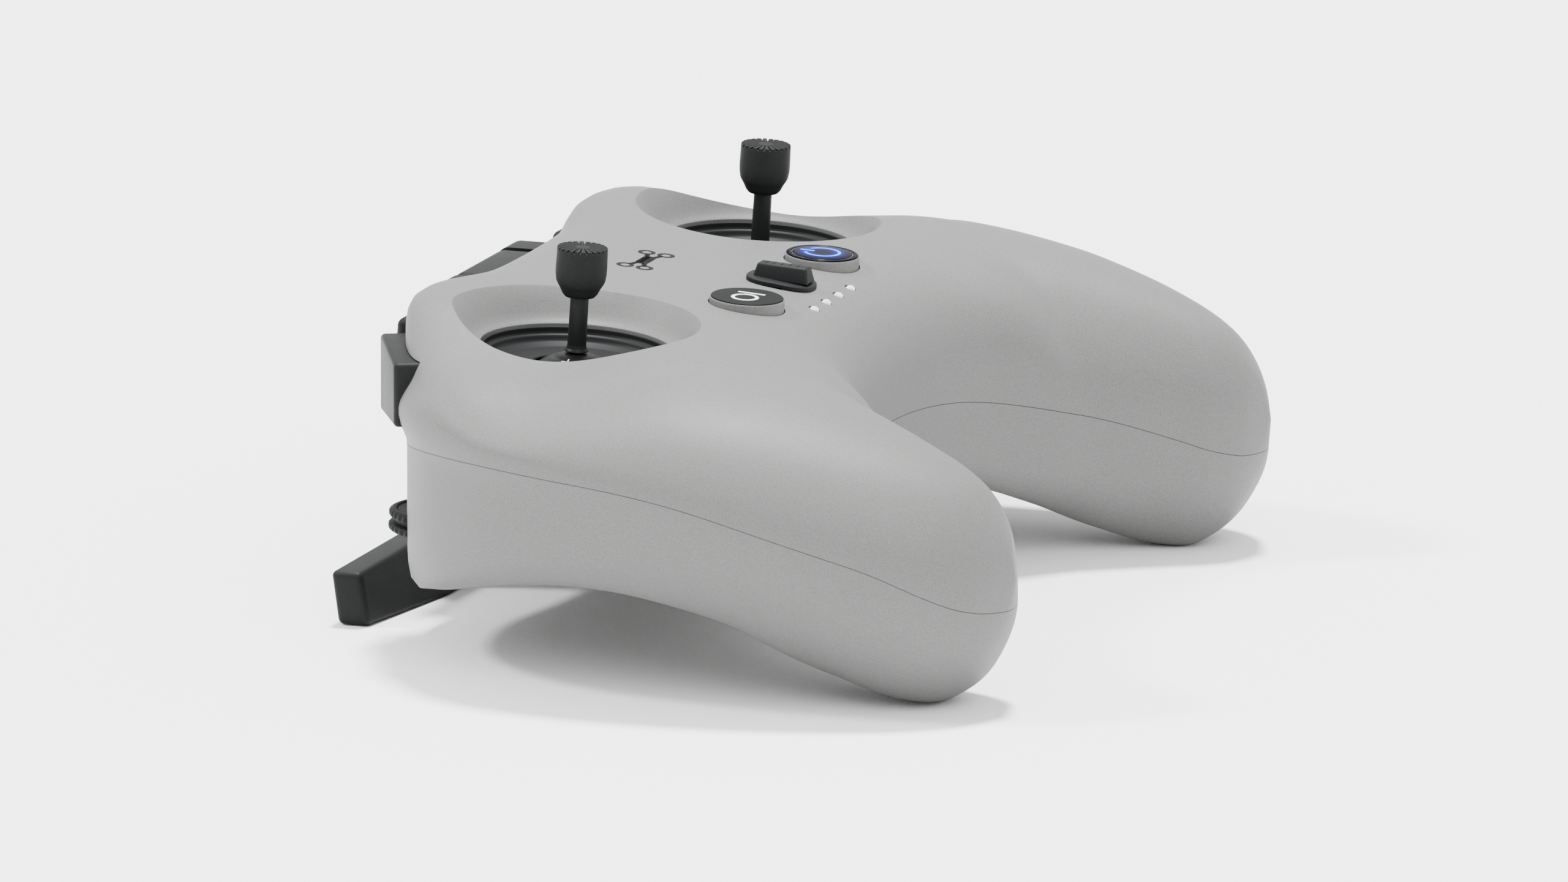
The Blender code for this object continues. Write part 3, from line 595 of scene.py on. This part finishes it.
def make_shells():
    rings, count = 84, 120
    skin = loft(rings, count)
    cavity = body_object("cavity", 34, 48, 1, 2.0, 0.94)
    bosses = [round_cutter(DISH_R + 2.2, -6.5, 24, at(side * STICK_X, STICK_Y)) for side, _ in SIDES]
    boolean(cavity, joined_cutters(bosses))
    body = body_object("body", rings, count, 0)
    boolean(body, cavity)
    lower = body.copy()
    lower.data = body.data.copy()
    bpy.context.scene.collection.objects.link(lower)
    boolean(body, parting_block(True), "INTERSECT")
    boolean(lower, parting_block(False), "INTERSECT")
    body.name, lower.name = "upper_shell_skin", "lower_shell_skin"
    cuts = []
    for side, _ in SIDES:
        cuts.append(dish_cutter(side))
        cuts.append(round_cutter(BUTTON_R + 0.16, -6, 6, at(side * BUTTON_X, BUTTON_Y)))
    for i in range(4):
        cuts.append(round_cutter(0.9, -8, 6, at((i - 1.5) * LED_PITCH, LED_Y), 1, 24))
    cuts.append(block_cutter((9, 3.2, 20), at(0, 0.15)))
    lug_pocket = (2 * LUG_HALF + 0.3, 16, KNUCKLE + 0.3)
    cuts.append(block_cutter(lug_pocket, Matrix.Translation((0, 46.95, HINGE.z)), 1, 1.7))
    boolean(body, joined_cutters(cuts))
    sweep = Matrix.Translation(HINGE) @ Matrix.Rotation(math.pi / 2, 4, "Y")
    cuts = [round_cutter(6.2, -STEM_WIDTH / 2 - 0.5, STEM_WIDTH / 2 + 0.5, sweep)]
    for side, _ in SIDES:
        cuts.append(block("bumper_cut", (1, 1, 1), bumper_matrix(side), SHELL, 0.5, 4,
                          bumper_shape(side, 0.15, 9, 9)))
        cuts[-1].data.materials.append(INSIDE)
        cuts[-1].data.polygons.foreach_set("material_index", [1] * len(cuts[-1].data.polygons))
    boolean(body, joined_cutters(cuts))
    tilt = Matrix.Rotation(DECK_TILT, 4, "X")
    cuts = [block_cutter((6.5, 22, 7.9), Matrix.Translation((side * FN_X, 48, 44.7)) @ tilt, 1, 1.3)
            for side, _ in SIDES]
    boolean(body, joined_cutters(cuts))
    cuts = [round_cutter(9.0, -2.2, 2.2, Matrix.Translation(DIAL_AT) @ tilt),
            block_cutter((9.6, 12, 3.8), Matrix.Translation((0, CONTACT_Y + 28, 22)), 1, 1.5)]
    for i in range(6):
        low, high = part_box("shell_screw_" + str(i + 1))
        x, y = (low[0] + high[0]) / 2 / MM, (low[1] + high[1]) / 2 / MM
        cuts.append(round_cutter(2.6, -2, low[2] / MM + 1.8, Matrix.Translation((x, y, 0)), 1, 64))
    boolean(lower, joined_cutters(cuts))
    for obj, node in ((body, "upper_shell"), (lower, "lower_shell")):
        true_normals(obj, *skin)
        attach(obj, "controller", "shell_plastic", node)
    return skin


# ------------------------------------------------------------------ gimbals and sticks
def make_gimbal(side, tag):
    base = at(side * STICK_X, STICK_Y)
    bezel = turned_piece("gimbal_ring_" + tag, [
        (17.4, -6.9, 0), (17.4, -10.6, 0.3), (11.0, -10.6, 0.3), (7.15, -7.9, 0.1), (6.95, -7.6, 0.1),
        (7.2, -7.4, 0.1), (9.4, -7.6, 1.0), (12.0, -7.5, 1.5), (13.5, -6.9, 1.2), (13.8, -6.1, 0.5),
        (14.2, -5.9, 0.4), (14.4, -5.6, 0.2), (14.45, -4.95, 0.12), (14.76, -4.9, 0.1), (14.76, -6.9, 0),
        (17.4, -6.9, 0)], BLACK, base, 128, smooth=50)
    attach(bezel, "controller", "black_plastic", "gimbal_bezel_" + tag)
    pivot = at(side * STICK_X, STICK_Y, -PIVOT_DEPTH)
    reach, wall = 9.6, 0.5
    for number, (size, shift) in enumerate((((0.22, 1.1, 0.1), (0, 0.44)), ((0.9, 0.22, 0.1), (0.34, 0)))):
        lean = pivot @ Matrix.Rotation(-0.42, 4, "Y") @ Matrix.Translation((shift[0], shift[1], reach))
        tick = block("dome_mark_%s_%d" % (tag, number), size, lean, WHITE, 0.03, 1)
        attach(tick, "stick_" + tag, "light_lens")
    outer = []
    for k in range(31):
        a = math.radians(2 * k)
        dip = 0.16 if k in (10, 11) or k == 19 else 0.0
        outer.append(((reach - dip) * math.sin(a), (reach - dip) * math.cos(a), 0))
    back = [((reach - wall) * math.sin(math.radians(a)), (reach - wall) * math.cos(math.radians(a)), 0)
            for a in (60, 40, 20, 0)]
    dome = turned_piece("gimbal_dome_" + tag, outer + back, SATIN, pivot, 96)
    attach(dome, "stick_" + tag, "black_plastic", "stick_base_" + tag)
    stem = turned_piece("gimbal_stem_" + tag, [(0, 8.6, 0), (2.2, 8.6, 0), (2.2, -3.1, 0.2), (0, -3.1, 0)],
                        SATIN, pivot, 40)
    attach(stem, "stick_" + tag, "black_plastic")
    shaft = turned_piece("stick_rod_" + tag, [
        (0, 4.6, 0), (1.42, 4.6, 0.1), (1.46, -4.2, 0.2), (1.56, -4.7, 0.2), (1.95, -5.25, 0.3),
        (0, -5.3, 0)],
        SATIN, base, 64)
    attach(shaft, "stick_" + tag, "black_plastic", "stick_shaft_" + tag)
    ring = turned_piece("stick_collar_" + tag, [
        (1.9, 5.0, 0), (3.25, 5.0, 0.03), (2.74, 3.95, 0.2), (2.3, 3.45, 0.3), (1.65, 3.4, 0.1),
        (1.6, 4.9, 0)], INK, base, 96)
    attach(ring, "stick_" + tag, "black_plastic", "stick_lock_ring_" + tag)
    cap = make_cap("stick_top_" + tag, base)
    attach(cap, "stick_" + tag, "black_plastic", "stick_cap_" + tag)


def make_cap(name, matrix):
    """Thumb cap: a barrel with 24 radial cuts in its flat top that run out over the rim."""
    spokes, top = 24, 11.28
    turns = (-7.0, -4.2, -2.5, -1.9, 0.0, 1.9, 2.5, 4.2)
    angles = [math.radians(360 / spokes * k + t) for k in range(spokes) for t in turns]
    in_cut = [abs(t) < 2.0 for _ in range(spokes) for t in turns]
    rings = [(1.15, top, 0), (1.3, top, 0.22), (2.2, top, 0.3), (3.1, top, 0.34), (3.78, top, 0.36),
             (3.86, top - 0.04, 0.34), (3.91, top - 0.14, 0.28), (3.925, top - 0.42, 0.0),
             (3.95, top - 1.6, 0), (3.985, top - 3.2, 0), (3.96, top - 4.2, 0), (3.80, top - 5.3, 0),
             (3.56, top - 5.8, 0), (3.30, top - 6.24, 0), (3.26, top - 6.27, 0), (1.9, top - 6.27, 0)]
    points = [(0, 0, top)]
    for r, z, depth in rings:
        for angle, cut in zip(angles, in_cut):
            drop = depth if cut else 0.0
            points.append((r * math.cos(angle), r * math.sin(angle), z - drop))
    count = len(angles)
    faces = [(0, 1 + j, 1 + (j + 1) % count) for j in range(count)]
    for i in range(len(rings) - 1):
        for j in range(count):
            a, b = 1 + i * count + j, 1 + i * count + (j + 1) % count
            faces.append((a, a + count, b + count, b))
    last = 1 + (len(rings) - 1) * count
    faces.append(tuple(last + j for j in range(count)))
    return outward_shaded(mesh_from(name, points, faces, [RUBBER], 0, matrix), 28)


# ------------------------------------------------------------------ deck controls
def ring_sector(inner, outer, start, end, steps, z=0.0, thick=0.06):
    """A flat curved stroke, as a thin closed solid."""
    points, faces = [], []
    for k in range(steps + 1):
        a = start + (end - start) * k / steps
        for r, h in ((inner, z), (outer, z), (outer, z + thick), (inner, z + thick)):
            points.append((r * math.cos(a), r * math.sin(a), h))
    for k in range(steps):
        for j in range(4):
            a, b = 4 * k + j, 4 * k + (j + 1) % 4
            faces.append((a, b, b + 4, a + 4))
    if abs(end - start) < 2 * math.pi - 1e-6:
        faces += [(3, 2, 1, 0), tuple(4 * steps + j for j in range(4))]
    return points, faces


def make_buttons():
    for name, x in (("c1_button", -BUTTON_X), ("power_button", BUTTON_X)):
        place = at(x, BUTTON_Y)
        cup = turned_piece(name + "_cup", [
            (0, 0.84, 0), (5.66, 0.84, 0), (5.70, 0.94, 0.02), (5.78, 0.92, 0.03),
            (BUTTON_R - 0.01, 0.7, 0.1),
            (BUTTON_R, -3.1, 0.2), (0, -3.1, 0)], SHELL, place, 128)
        attach(cup, name, "shell_plastic", name)
    place = at(-BUTTON_X, BUTTON_Y)
    disc = turned_piece("c1_face_disc", [(0, 1.16, 0), (5.52, 1.12, 0.06), (5.62, 1.05, 0.03),
                                         (5.62, 0.85, 0),
                                         (0, 0.85, 0)], FACE, place, 128)
    attach(disc, "c1_button", "black_plastic", "c1_button_face")
    points, faces = ring_sector(1.62, 2.16, 0, 2 * math.pi, 72)
    mark = outward_shaded(mesh_from("c1_mark_ring", points, faces, [WHITE], 0,
                                    at(-BUTTON_X - 1.05, BUTTON_Y, 1.125)))
    attach(mark, "c1_button", "light_lens")
    bar = block("c1_mark_bar", (0.55, 4.4, 0.06), at(-BUTTON_X + 2.05, BUTTON_Y, 1.15), WHITE, 0.02, 1)
    attach(bar, "c1_button", "light_lens")
    place = at(BUTTON_X, BUTTON_Y)
    lens = turned_piece("power_face_disc", [
        (0, 1.24, 0), (3.0, 1.22, 0.5), (4.55, 1.14, 0.1), (4.72, 1.02, 0.06), (4.90, 1.02, 0.06),
        (5.06, 1.13, 0.1), (5.50, 1.10, 0.1), (5.64, 1.0, 0.05), (5.64, 0.85, 0), (0, 0.85, 0)],
        LENS, place, 128)
    attach(lens, "power_button", "power_lens", "power_button_face")
    rim = turned_piece("power_lens_ring", [(4.68, 1.02, 0), (4.72, 1.09, 0.03), (4.82, 1.10, 0.03),
                                           (4.86, 1.02, 0)],
                       GLOSS, place, 128)
    attach(rim, "power_button", "power_lens")
    gap = math.radians(30)
    points, faces = ring_sector(2.48, 2.92, math.pi / 2 + gap, math.pi / 2 + 2 * math.pi - gap, 60, 0, 0.05)
    symbol = outward_shaded(mesh_from("power_mark_ring", points, faces, [BLUE], 0,
                                      at(BUTTON_X, BUTTON_Y, 1.205)))
    attach(symbol, "power_button", "light_lens")
    bar = block("power_mark_bar", (0.44, 2.3, 0.05), at(BUTTON_X, BUTTON_Y + 2.45, 1.235), BLUE, 0.02, 1)
    attach(bar, "power_button", "light_lens")


def make_slider():
    count = 96
    outline = []
    for j in range(count):
        a = 2 * math.pi * j / count
        c, s = math.cos(a), math.sin(a)
        outline.append((4.55 * math.copysign(abs(c) ** 0.8, c), 5.45 * math.copysign(abs(s) ** 0.86, s)))
    levels = [(1.0, 0.6), (1.0, 1.1), (0.985, 1.2), (0.955, 1.25)]
    points = [(x * k, y * k, z - 0.62 - 0.055 * abs(min(y, 0.0)) ** 1.5 + 0.03 * max(y, 0.0))
              for k, z in levels
              for x, y in outline]
    faces = []
    for i in range(len(levels) - 1):
        for j in range(count):
            a, b = i * count + j, i * count + (j + 1) % count
            faces.append((a, b, b + count, a + count))
    faces += [tuple(range(count - 1, -1, -1)), tuple(range((len(levels) - 1) * count, len(levels) * count))]
    plate = outward_shaded(mesh_from("mode_slider_plate", points, faces, [BLACK], 0, at(0, 0.15)))
    attach(plate, "mode_slider", "black_plastic", "mode_slider")

    def ridge_shape(co):
        return (co.x * (0.62 if co.z > 0 else 1.0), co.y * (0.88 if co.z > 0 else 1.0), co.z)
    ridge = block("mode_slider_ridge", (3.9, 9.2, 2.5), at(0, -0.15, 1.45), BLACK, 0.36, 5, ridge_shape)
    attach(ridge, "mode_slider", "black_plastic")
    grip = []
    for k in range(-2, 3):
        grip.append(block("rib", (1.5, 0.16, 0.12), at(0, 0.15 + k * 1.3, 2.71), BLACK, 0.05, 2))
    ribs = fused("mode_slider_ribs", grip, [BLACK])
    shade(ribs)
    attach(ribs, "mode_slider", "black_plastic")
    post = block("mode_slider_post", (2.4, 2.4, 5.4), at(0, 0.15, -1.7), BLACK, 0.1, 2)
    attach(post, "mode_slider", "black_plastic")


def make_lights():
    pieces = []
    for i in range(4):
        points, faces = turned(fillet([(0, 0.5, 0), (0.4, 0.46, 0.15), (0.74, 0.12, 0.35), (0.8, -0.4, 0.1),
                                       (0.8, -4.2, 0), (0, -4.2, 0)]), 40)
        pieces.append(outward(mesh_from("pipe", points, faces, [PIPE], 0,
                                        at((i - 1.5) * LED_PITCH, LED_Y, -1.75))))
    pieces.append(block("pipe_bar", (3 * LED_PITCH + 2.4, 2.4, 1.2), at(0, LED_Y, -6.2), PIPE, 0.2, 2))
    lights = fused("battery_light_pipes", pieces, [PIPE])
    shade(lights, 40)
    attach(lights, "controller", "light_lens", "battery_lights")


def make_emblem(skin):
    """A generic rotorcraft mark, printed on the deck and laid on its curve."""
    shapes = []
    for sx in (-1, 1):
        for sy in (-1, 1):
            shapes.append((ring_sector(0.72, 1.4, 0, 2 * math.pi, 40, 0, 0.04), (sx * 4.9, sy * 1.6)))
            arm = math.atan2(sy * 1.3, sx * 3.0)
            for k in range(9):
                u = k / 8
                spot = (sx * (1.2 + 2.7 * u), sy * (0.35 + 0.75 * u))
                disc = ring_sector(0.0, 0.42, arm, arm + 2 * math.pi, 16, 0, 0.04)
                shapes.append((disc, spot))
    for k in range(17):
        shapes.append((ring_sector(0.0, 1.05, 0, 2 * math.pi, 24, 0, 0.04), (-1.6 + 3.2 * k / 16, 0)))
    points, faces = [], []
    for (pts, fcs), (ox, oy) in shapes:
        start = len(points)
        points += [(x + ox, y + oy + 22.6, z) for x, y, z in pts]
        faces += [tuple(v + start for v in f) for f in fcs]
    smooth = bmesh.new()
    mesh = bpy.data.meshes.new("deck_probe")
    mesh.from_pydata([tuple(p) for p in skin[0]], [], skin[1])
    smooth.from_mesh(mesh)
    tree = BVHTree.FromBMesh(smooth)
    laid = []
    for x, y, z in points:
        hit = tree.ray_cast(Vector((x, y, 90)), Vector((0, 0, -1)))[0]
        laid.append((x, y, hit.z - 0.012 + z))
    smooth.free()
    mark = mesh_from("deck_mark", laid, faces, [INK], 0)
    outward_shaded(mark)
    attach(mark, "controller", "black_plastic")


# ------------------------------------------------------------------ front controls
def make_bumpers():
    for side, tag in SIDES:
        bumper = block("shoulder_bumper_" + tag, (1, 1, 1), bumper_matrix(side), BLACK, 0.75, 6,
                       bumper_shape(side, 0, 0, 6))
        attach(bumper, "bumper_" + tag, "black_plastic", "bumper_" + tag)
        button = block("front_key_" + tag, (6.0, 9.2, 7.4),
                       Matrix.Translation((side * FN_X, 45.7, 44.7)) @ Matrix.Rotation(DECK_TILT, 4, "X"),
                       BLACK, 1.35, 7)
        attach(button, "fn_button_" + tag, "black_plastic", "fn_button_" + tag)


def make_dial():
    """Finger dial: two knurled rims with a smooth groove between them."""
    teeth, per = 40, 6
    heights = [(-1.72, 7.4, 0), (-1.72, 7.9, 0.0), (-1.5, 8.2, 0.5), (-1.3, 8.25, 1), (-0.75, 8.25, 1),
               (-0.5, 8.1, 0.5), (-0.38, 7.6, 0), (-0.3, 7.35, 0), (0.3, 7.35, 0), (0.38, 7.6, 0),
               (0.5, 8.1, 0.5), (0.75, 8.25, 1), (1.3, 8.25, 1), (1.5, 8.2, 0.5), (1.72, 7.9, 0),
               (1.72, 7.4, 0), (1.5, 7.1, 0), (1.5, 3.0, 0), (2.2, 2.6, 0), (2.2, 0.0, 0)]
    wave = (0.0, 0.16, 0.24, 0.24, 0.16, 0.0)
    count = teeth * per
    profile = [(-2.2, 0.0, 0), (-2.2, 2.6, 0), (-1.5, 3.0, 0), (-1.5, 7.1, 0)] + heights
    points, rows = [], []
    for z, r, share in profile:
        row = []
        for j in range(count):
            phase = j + (3 if z > 0 else 0)
            rr = r + share * (wave[phase % per] - 0.02)
            a = 2 * math.pi * j / count
            row.append(len(points))
            points.append((rr * math.cos(a), rr * math.sin(a), z))
        rows.append(row)
    faces = []
    for lower, upper in zip(rows, rows[1:]):
        for j in range(count):
            k = (j + 1) % count
            faces.append((lower[j], lower[k], upper[k], upper[j]))
    place = Matrix.Translation(DIAL_AT) @ Matrix.Rotation(DECK_TILT, 4, "X")
    dial = outward_shaded(mesh_from("finger_dial", points, faces, [BLACK], 0, place), 25)
    attach(dial, "dial", "black_plastic", "gimbal_dial")


# ------------------------------------------------------------------ antenna
def make_antenna():
    knuckle = block("antenna_knuckle", (STEM_WIDTH, KNUCKLE, KNUCKLE), Matrix.Translation(HINGE),
                    BLACK, 2.2, 8)
    attach(knuckle, "antenna", "black_plastic", "antenna")
    foot = Vector((BAR_FRONT - 2.6 - HINGE.y - 0.6, 4.5 - HINGE.z))
    lean = math.atan2(foot.x, -foot.y)
    middle = (0, HINGE.y + foot.x / 2, HINGE.z + foot.y / 2)
    place = Matrix.Translation(middle) @ Matrix.Rotation(lean, 4, "X")
    stem = block("antenna_stem", (STEM_WIDTH - 0.1, 3.5, foot.length), place, BLACK, 0.7, 5)
    attach(stem, "antenna", "black_plastic")
    for face in (-1, 1):
        line = block("antenna_panel_%s" % ("back" if face < 0 else "front"),
                     (STEM_WIDTH - 5, 0.3, foot.length - 18),
                     place @ Matrix.Translation((0, face * 1.72, 1.5)), SATIN, 0.14, 3)
        attach(line, "antenna", "black_plastic")
    depth, tall, tilt, reach = 5.2, 8.6, math.radians(8), 4.2
    rows = []
    for x in (-BAR_HALF, -27, -15.0, 15.0, 27, BAR_HALF):
        share = (BAR_HALF - abs(x)) / (BAR_HALF - 15.0)
        toe = reach * min(1.0, share)
        for y, z in ((0, tall), (0, 0), (-depth - toe, 0), (-depth, tall)):
            rows.append((x, y * math.cos(tilt) + z * math.sin(tilt), z * math.cos(tilt)))
    front = max(p[1] for p in rows)
    points = [(x, y - front + BAR_FRONT, z) for x, y, z in rows]
    faces = [(3, 2, 1, 0), tuple(20 + j for j in range(4))]
    for k in range(5):
        for j in range(4):
            a, b = 4 * k + j, 4 * k + (j + 1) % 4
            faces.append((a, b, b + 4, a + 4))
    bar = mesh_from("antenna_bar", points, faces, [BLACK], 0)
    outward(bar)
    rounded = bar.modifiers.new("edges", "BEVEL")
    rounded.width = 1.0 * MM
    rounded.segments = 6
    rounded.limit_method = "ANGLE"
    rounded.angle_limit = math.radians(40)
    bpy.context.view_layer.update()
    bar.data = bpy.data.meshes.new_from_object(bar.evaluated_get(bpy.context.evaluated_depsgraph_get()))
    bar.modifiers.clear()
    shade(bar, 40)
    attach(bar, "antenna", "black_plastic")
    front_y, back_y = HINGE.y + KNUCKLE / 2, 39.3
    lugs = block("hinge_lugs", (2 * LUG_HALF, front_y - back_y, KNUCKLE),
                 Matrix.Translation((0, (front_y + back_y) / 2, HINGE.z)), BLACK, 2.0, 8)
    lugs.data.materials.append(INSIDE)
    axis = Matrix.Translation(HINGE) @ Matrix.Rotation(math.pi / 2, 4, "Y")
    trough = round_cutter(6.0, -STEM_WIDTH / 2 - 0.25, STEM_WIDTH / 2 + 0.25, axis, 0)
    boolean(lugs, trough)
    shade(lugs, 40)
    attach(lugs, "controller", "black_plastic", "antenna_hinge_lugs")
    pin = turned_piece("hinge_pin_steel", [(0, 16, 0), (1.1, 16, 0.15), (1.1, -16, 0.15), (0, -16, 0)],
                       STEEL, axis, 48)
    attach(pin, "controller", "steel", "antenna_hinge_pin")


# ------------------------------------------------------------------ fasteners, port and inside
def make_fasteners():
    for i in range(6):
        node = "shell_screw_" + str(i + 1)
        low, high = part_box(node)
        x, y, z = (low[0] + high[0]) / 2 / MM, (low[1] + high[1]) / 2 / MM, low[2] / MM
        head = turned_piece("screw_head_" + str(i + 1), [
            (0, 8.8, 0), (0.95, 8.8, 0.1), (1.0, 1.6, 0), (2.0, 1.6, 0.1), (2.2, 0.35, 0.35), (1.7, 0.0, 0.3),
            (1.15, 0.0, 0.05), (1.05, 0.7, 0), (0, 0.8, 0)], STEEL, Matrix.Translation((x, y, z)), 6 * 12,
            lambda r, zz, a: (r * (1 - 0.16 * abs(math.sin(3 * a))) if r < 1.2 and zz < 1.0 else r, zz))
        attach(head, "controller", "steel", node)


def make_port():
    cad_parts["usb_port"].data.materials.clear()
    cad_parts["usb_port"].data.materials.append(STEEL)
    tongue = block("usb_tongue", (6.2, 5.4, 0.7), Matrix.Translation((0, CONTACT_Y + 32.0, 22)),
                   SATIN, 0.15, 2)
    attach(tongue, "controller", "frame_plastic")


def dress_inside():
    looks = {"gimbal_housing_left": FRAME, "gimbal_housing_right": FRAME, "gimbal_yoke_left": FRAME,
             "gimbal_yoke_right": FRAME, "dial_bracket": FRAME, "main_board": BOARD, "battery_pack": CELL}
    for name, look in looks.items():
        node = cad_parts[name]
        node.data.materials.clear()
        node.data.materials.append(look)


# ------------------------------------------------------------------ stage
def make_stage():
    made, tree, shader = nodes_of("floor_paper")
    shader.inputs["Roughness"].default_value = 0.9
    shader.inputs["Specular IOR Level"].default_value = 0.1
    fibres = noise(tree, 1800, 4.0, 0.7)
    tone = ramp_of(tree, fibres.outputs["Fac"], ((0.3, (0.86, 0.86, 0.86)), (0.7, (0.92, 0.92, 0.92))))
    tree.links.new(tone.outputs["Color"], shader.inputs["Base Color"])
    floor = mesh_from("floor", [(-30000, -30000, -0.05), (30000, -30000, -0.05), (30000, 30000, -0.05),
                                (-30000, 30000, -0.05)], [(0, 1, 2, 3)], [made], 0)
    world = bpy.data.worlds.new("studio")
    world.use_nodes = True
    back = world.node_tree.nodes["Background"]
    back.inputs["Color"].default_value = (1.0, 1.0, 1.0, 1)
    back.inputs["Strength"].default_value = 1.50
    bpy.context.scene.world = world
    for name, aim, strength, angle in (("key", (0.26, 0.04, 0.96), 9.3, 9.0),
                                       ("front", (-0.20, 0.68, 0.70), 3.0, 10.0),
                                       ("fill", (-0.60, -0.50, 0.62), 1.9, 40.0)):
        lamp = bpy.data.lights.new(name, "SUN")
        lamp.energy = strength
        lamp.angle = math.radians(angle)
        obj = bpy.data.objects.new(name, lamp)
        bpy.context.scene.collection.objects.link(obj)
        obj.rotation_euler = Vector(aim).to_track_quat("Z", "Y").to_euler()


def make_camera():
    azimuth, elevation, distance = math.radians(-70.3), math.radians(12.3), 4000.0
    right = Vector((math.cos(azimuth), math.sin(azimuth), 0))
    ahead = Vector((-math.sin(azimuth) * math.cos(elevation), math.cos(azimuth) * math.cos(elevation),
                    -math.sin(elevation)))
    up = right.cross(ahead)
    spot = Vector((0, -4.85, 25)) - right * 4.314 + up * 0.457 - ahead * distance
    lens = bpy.data.cameras.new("camera")
    lens.lens = 590.6
    lens.sensor_width = 36.0
    lens.clip_start = 0.1
    lens.clip_end = 200.0
    camera = bpy.data.objects.new("camera", lens)
    bpy.context.scene.collection.objects.link(camera)
    turn = Matrix((right, up, -ahead)).transposed().to_4x4()
    camera.matrix_world = Matrix.Translation(spot * MM) @ turn
    bpy.context.scene.camera = camera


make_camera()
body_skin = make_shells()
for SIDE, TAG in SIDES:
    make_gimbal(SIDE, TAG)
make_buttons()
make_slider()
make_lights()
make_emblem(body_skin)
make_bumpers()
make_dial()
make_antenna()
make_fasteners()
make_port()
dress_inside()
make_stage()
bpy.context.view_layer.update()
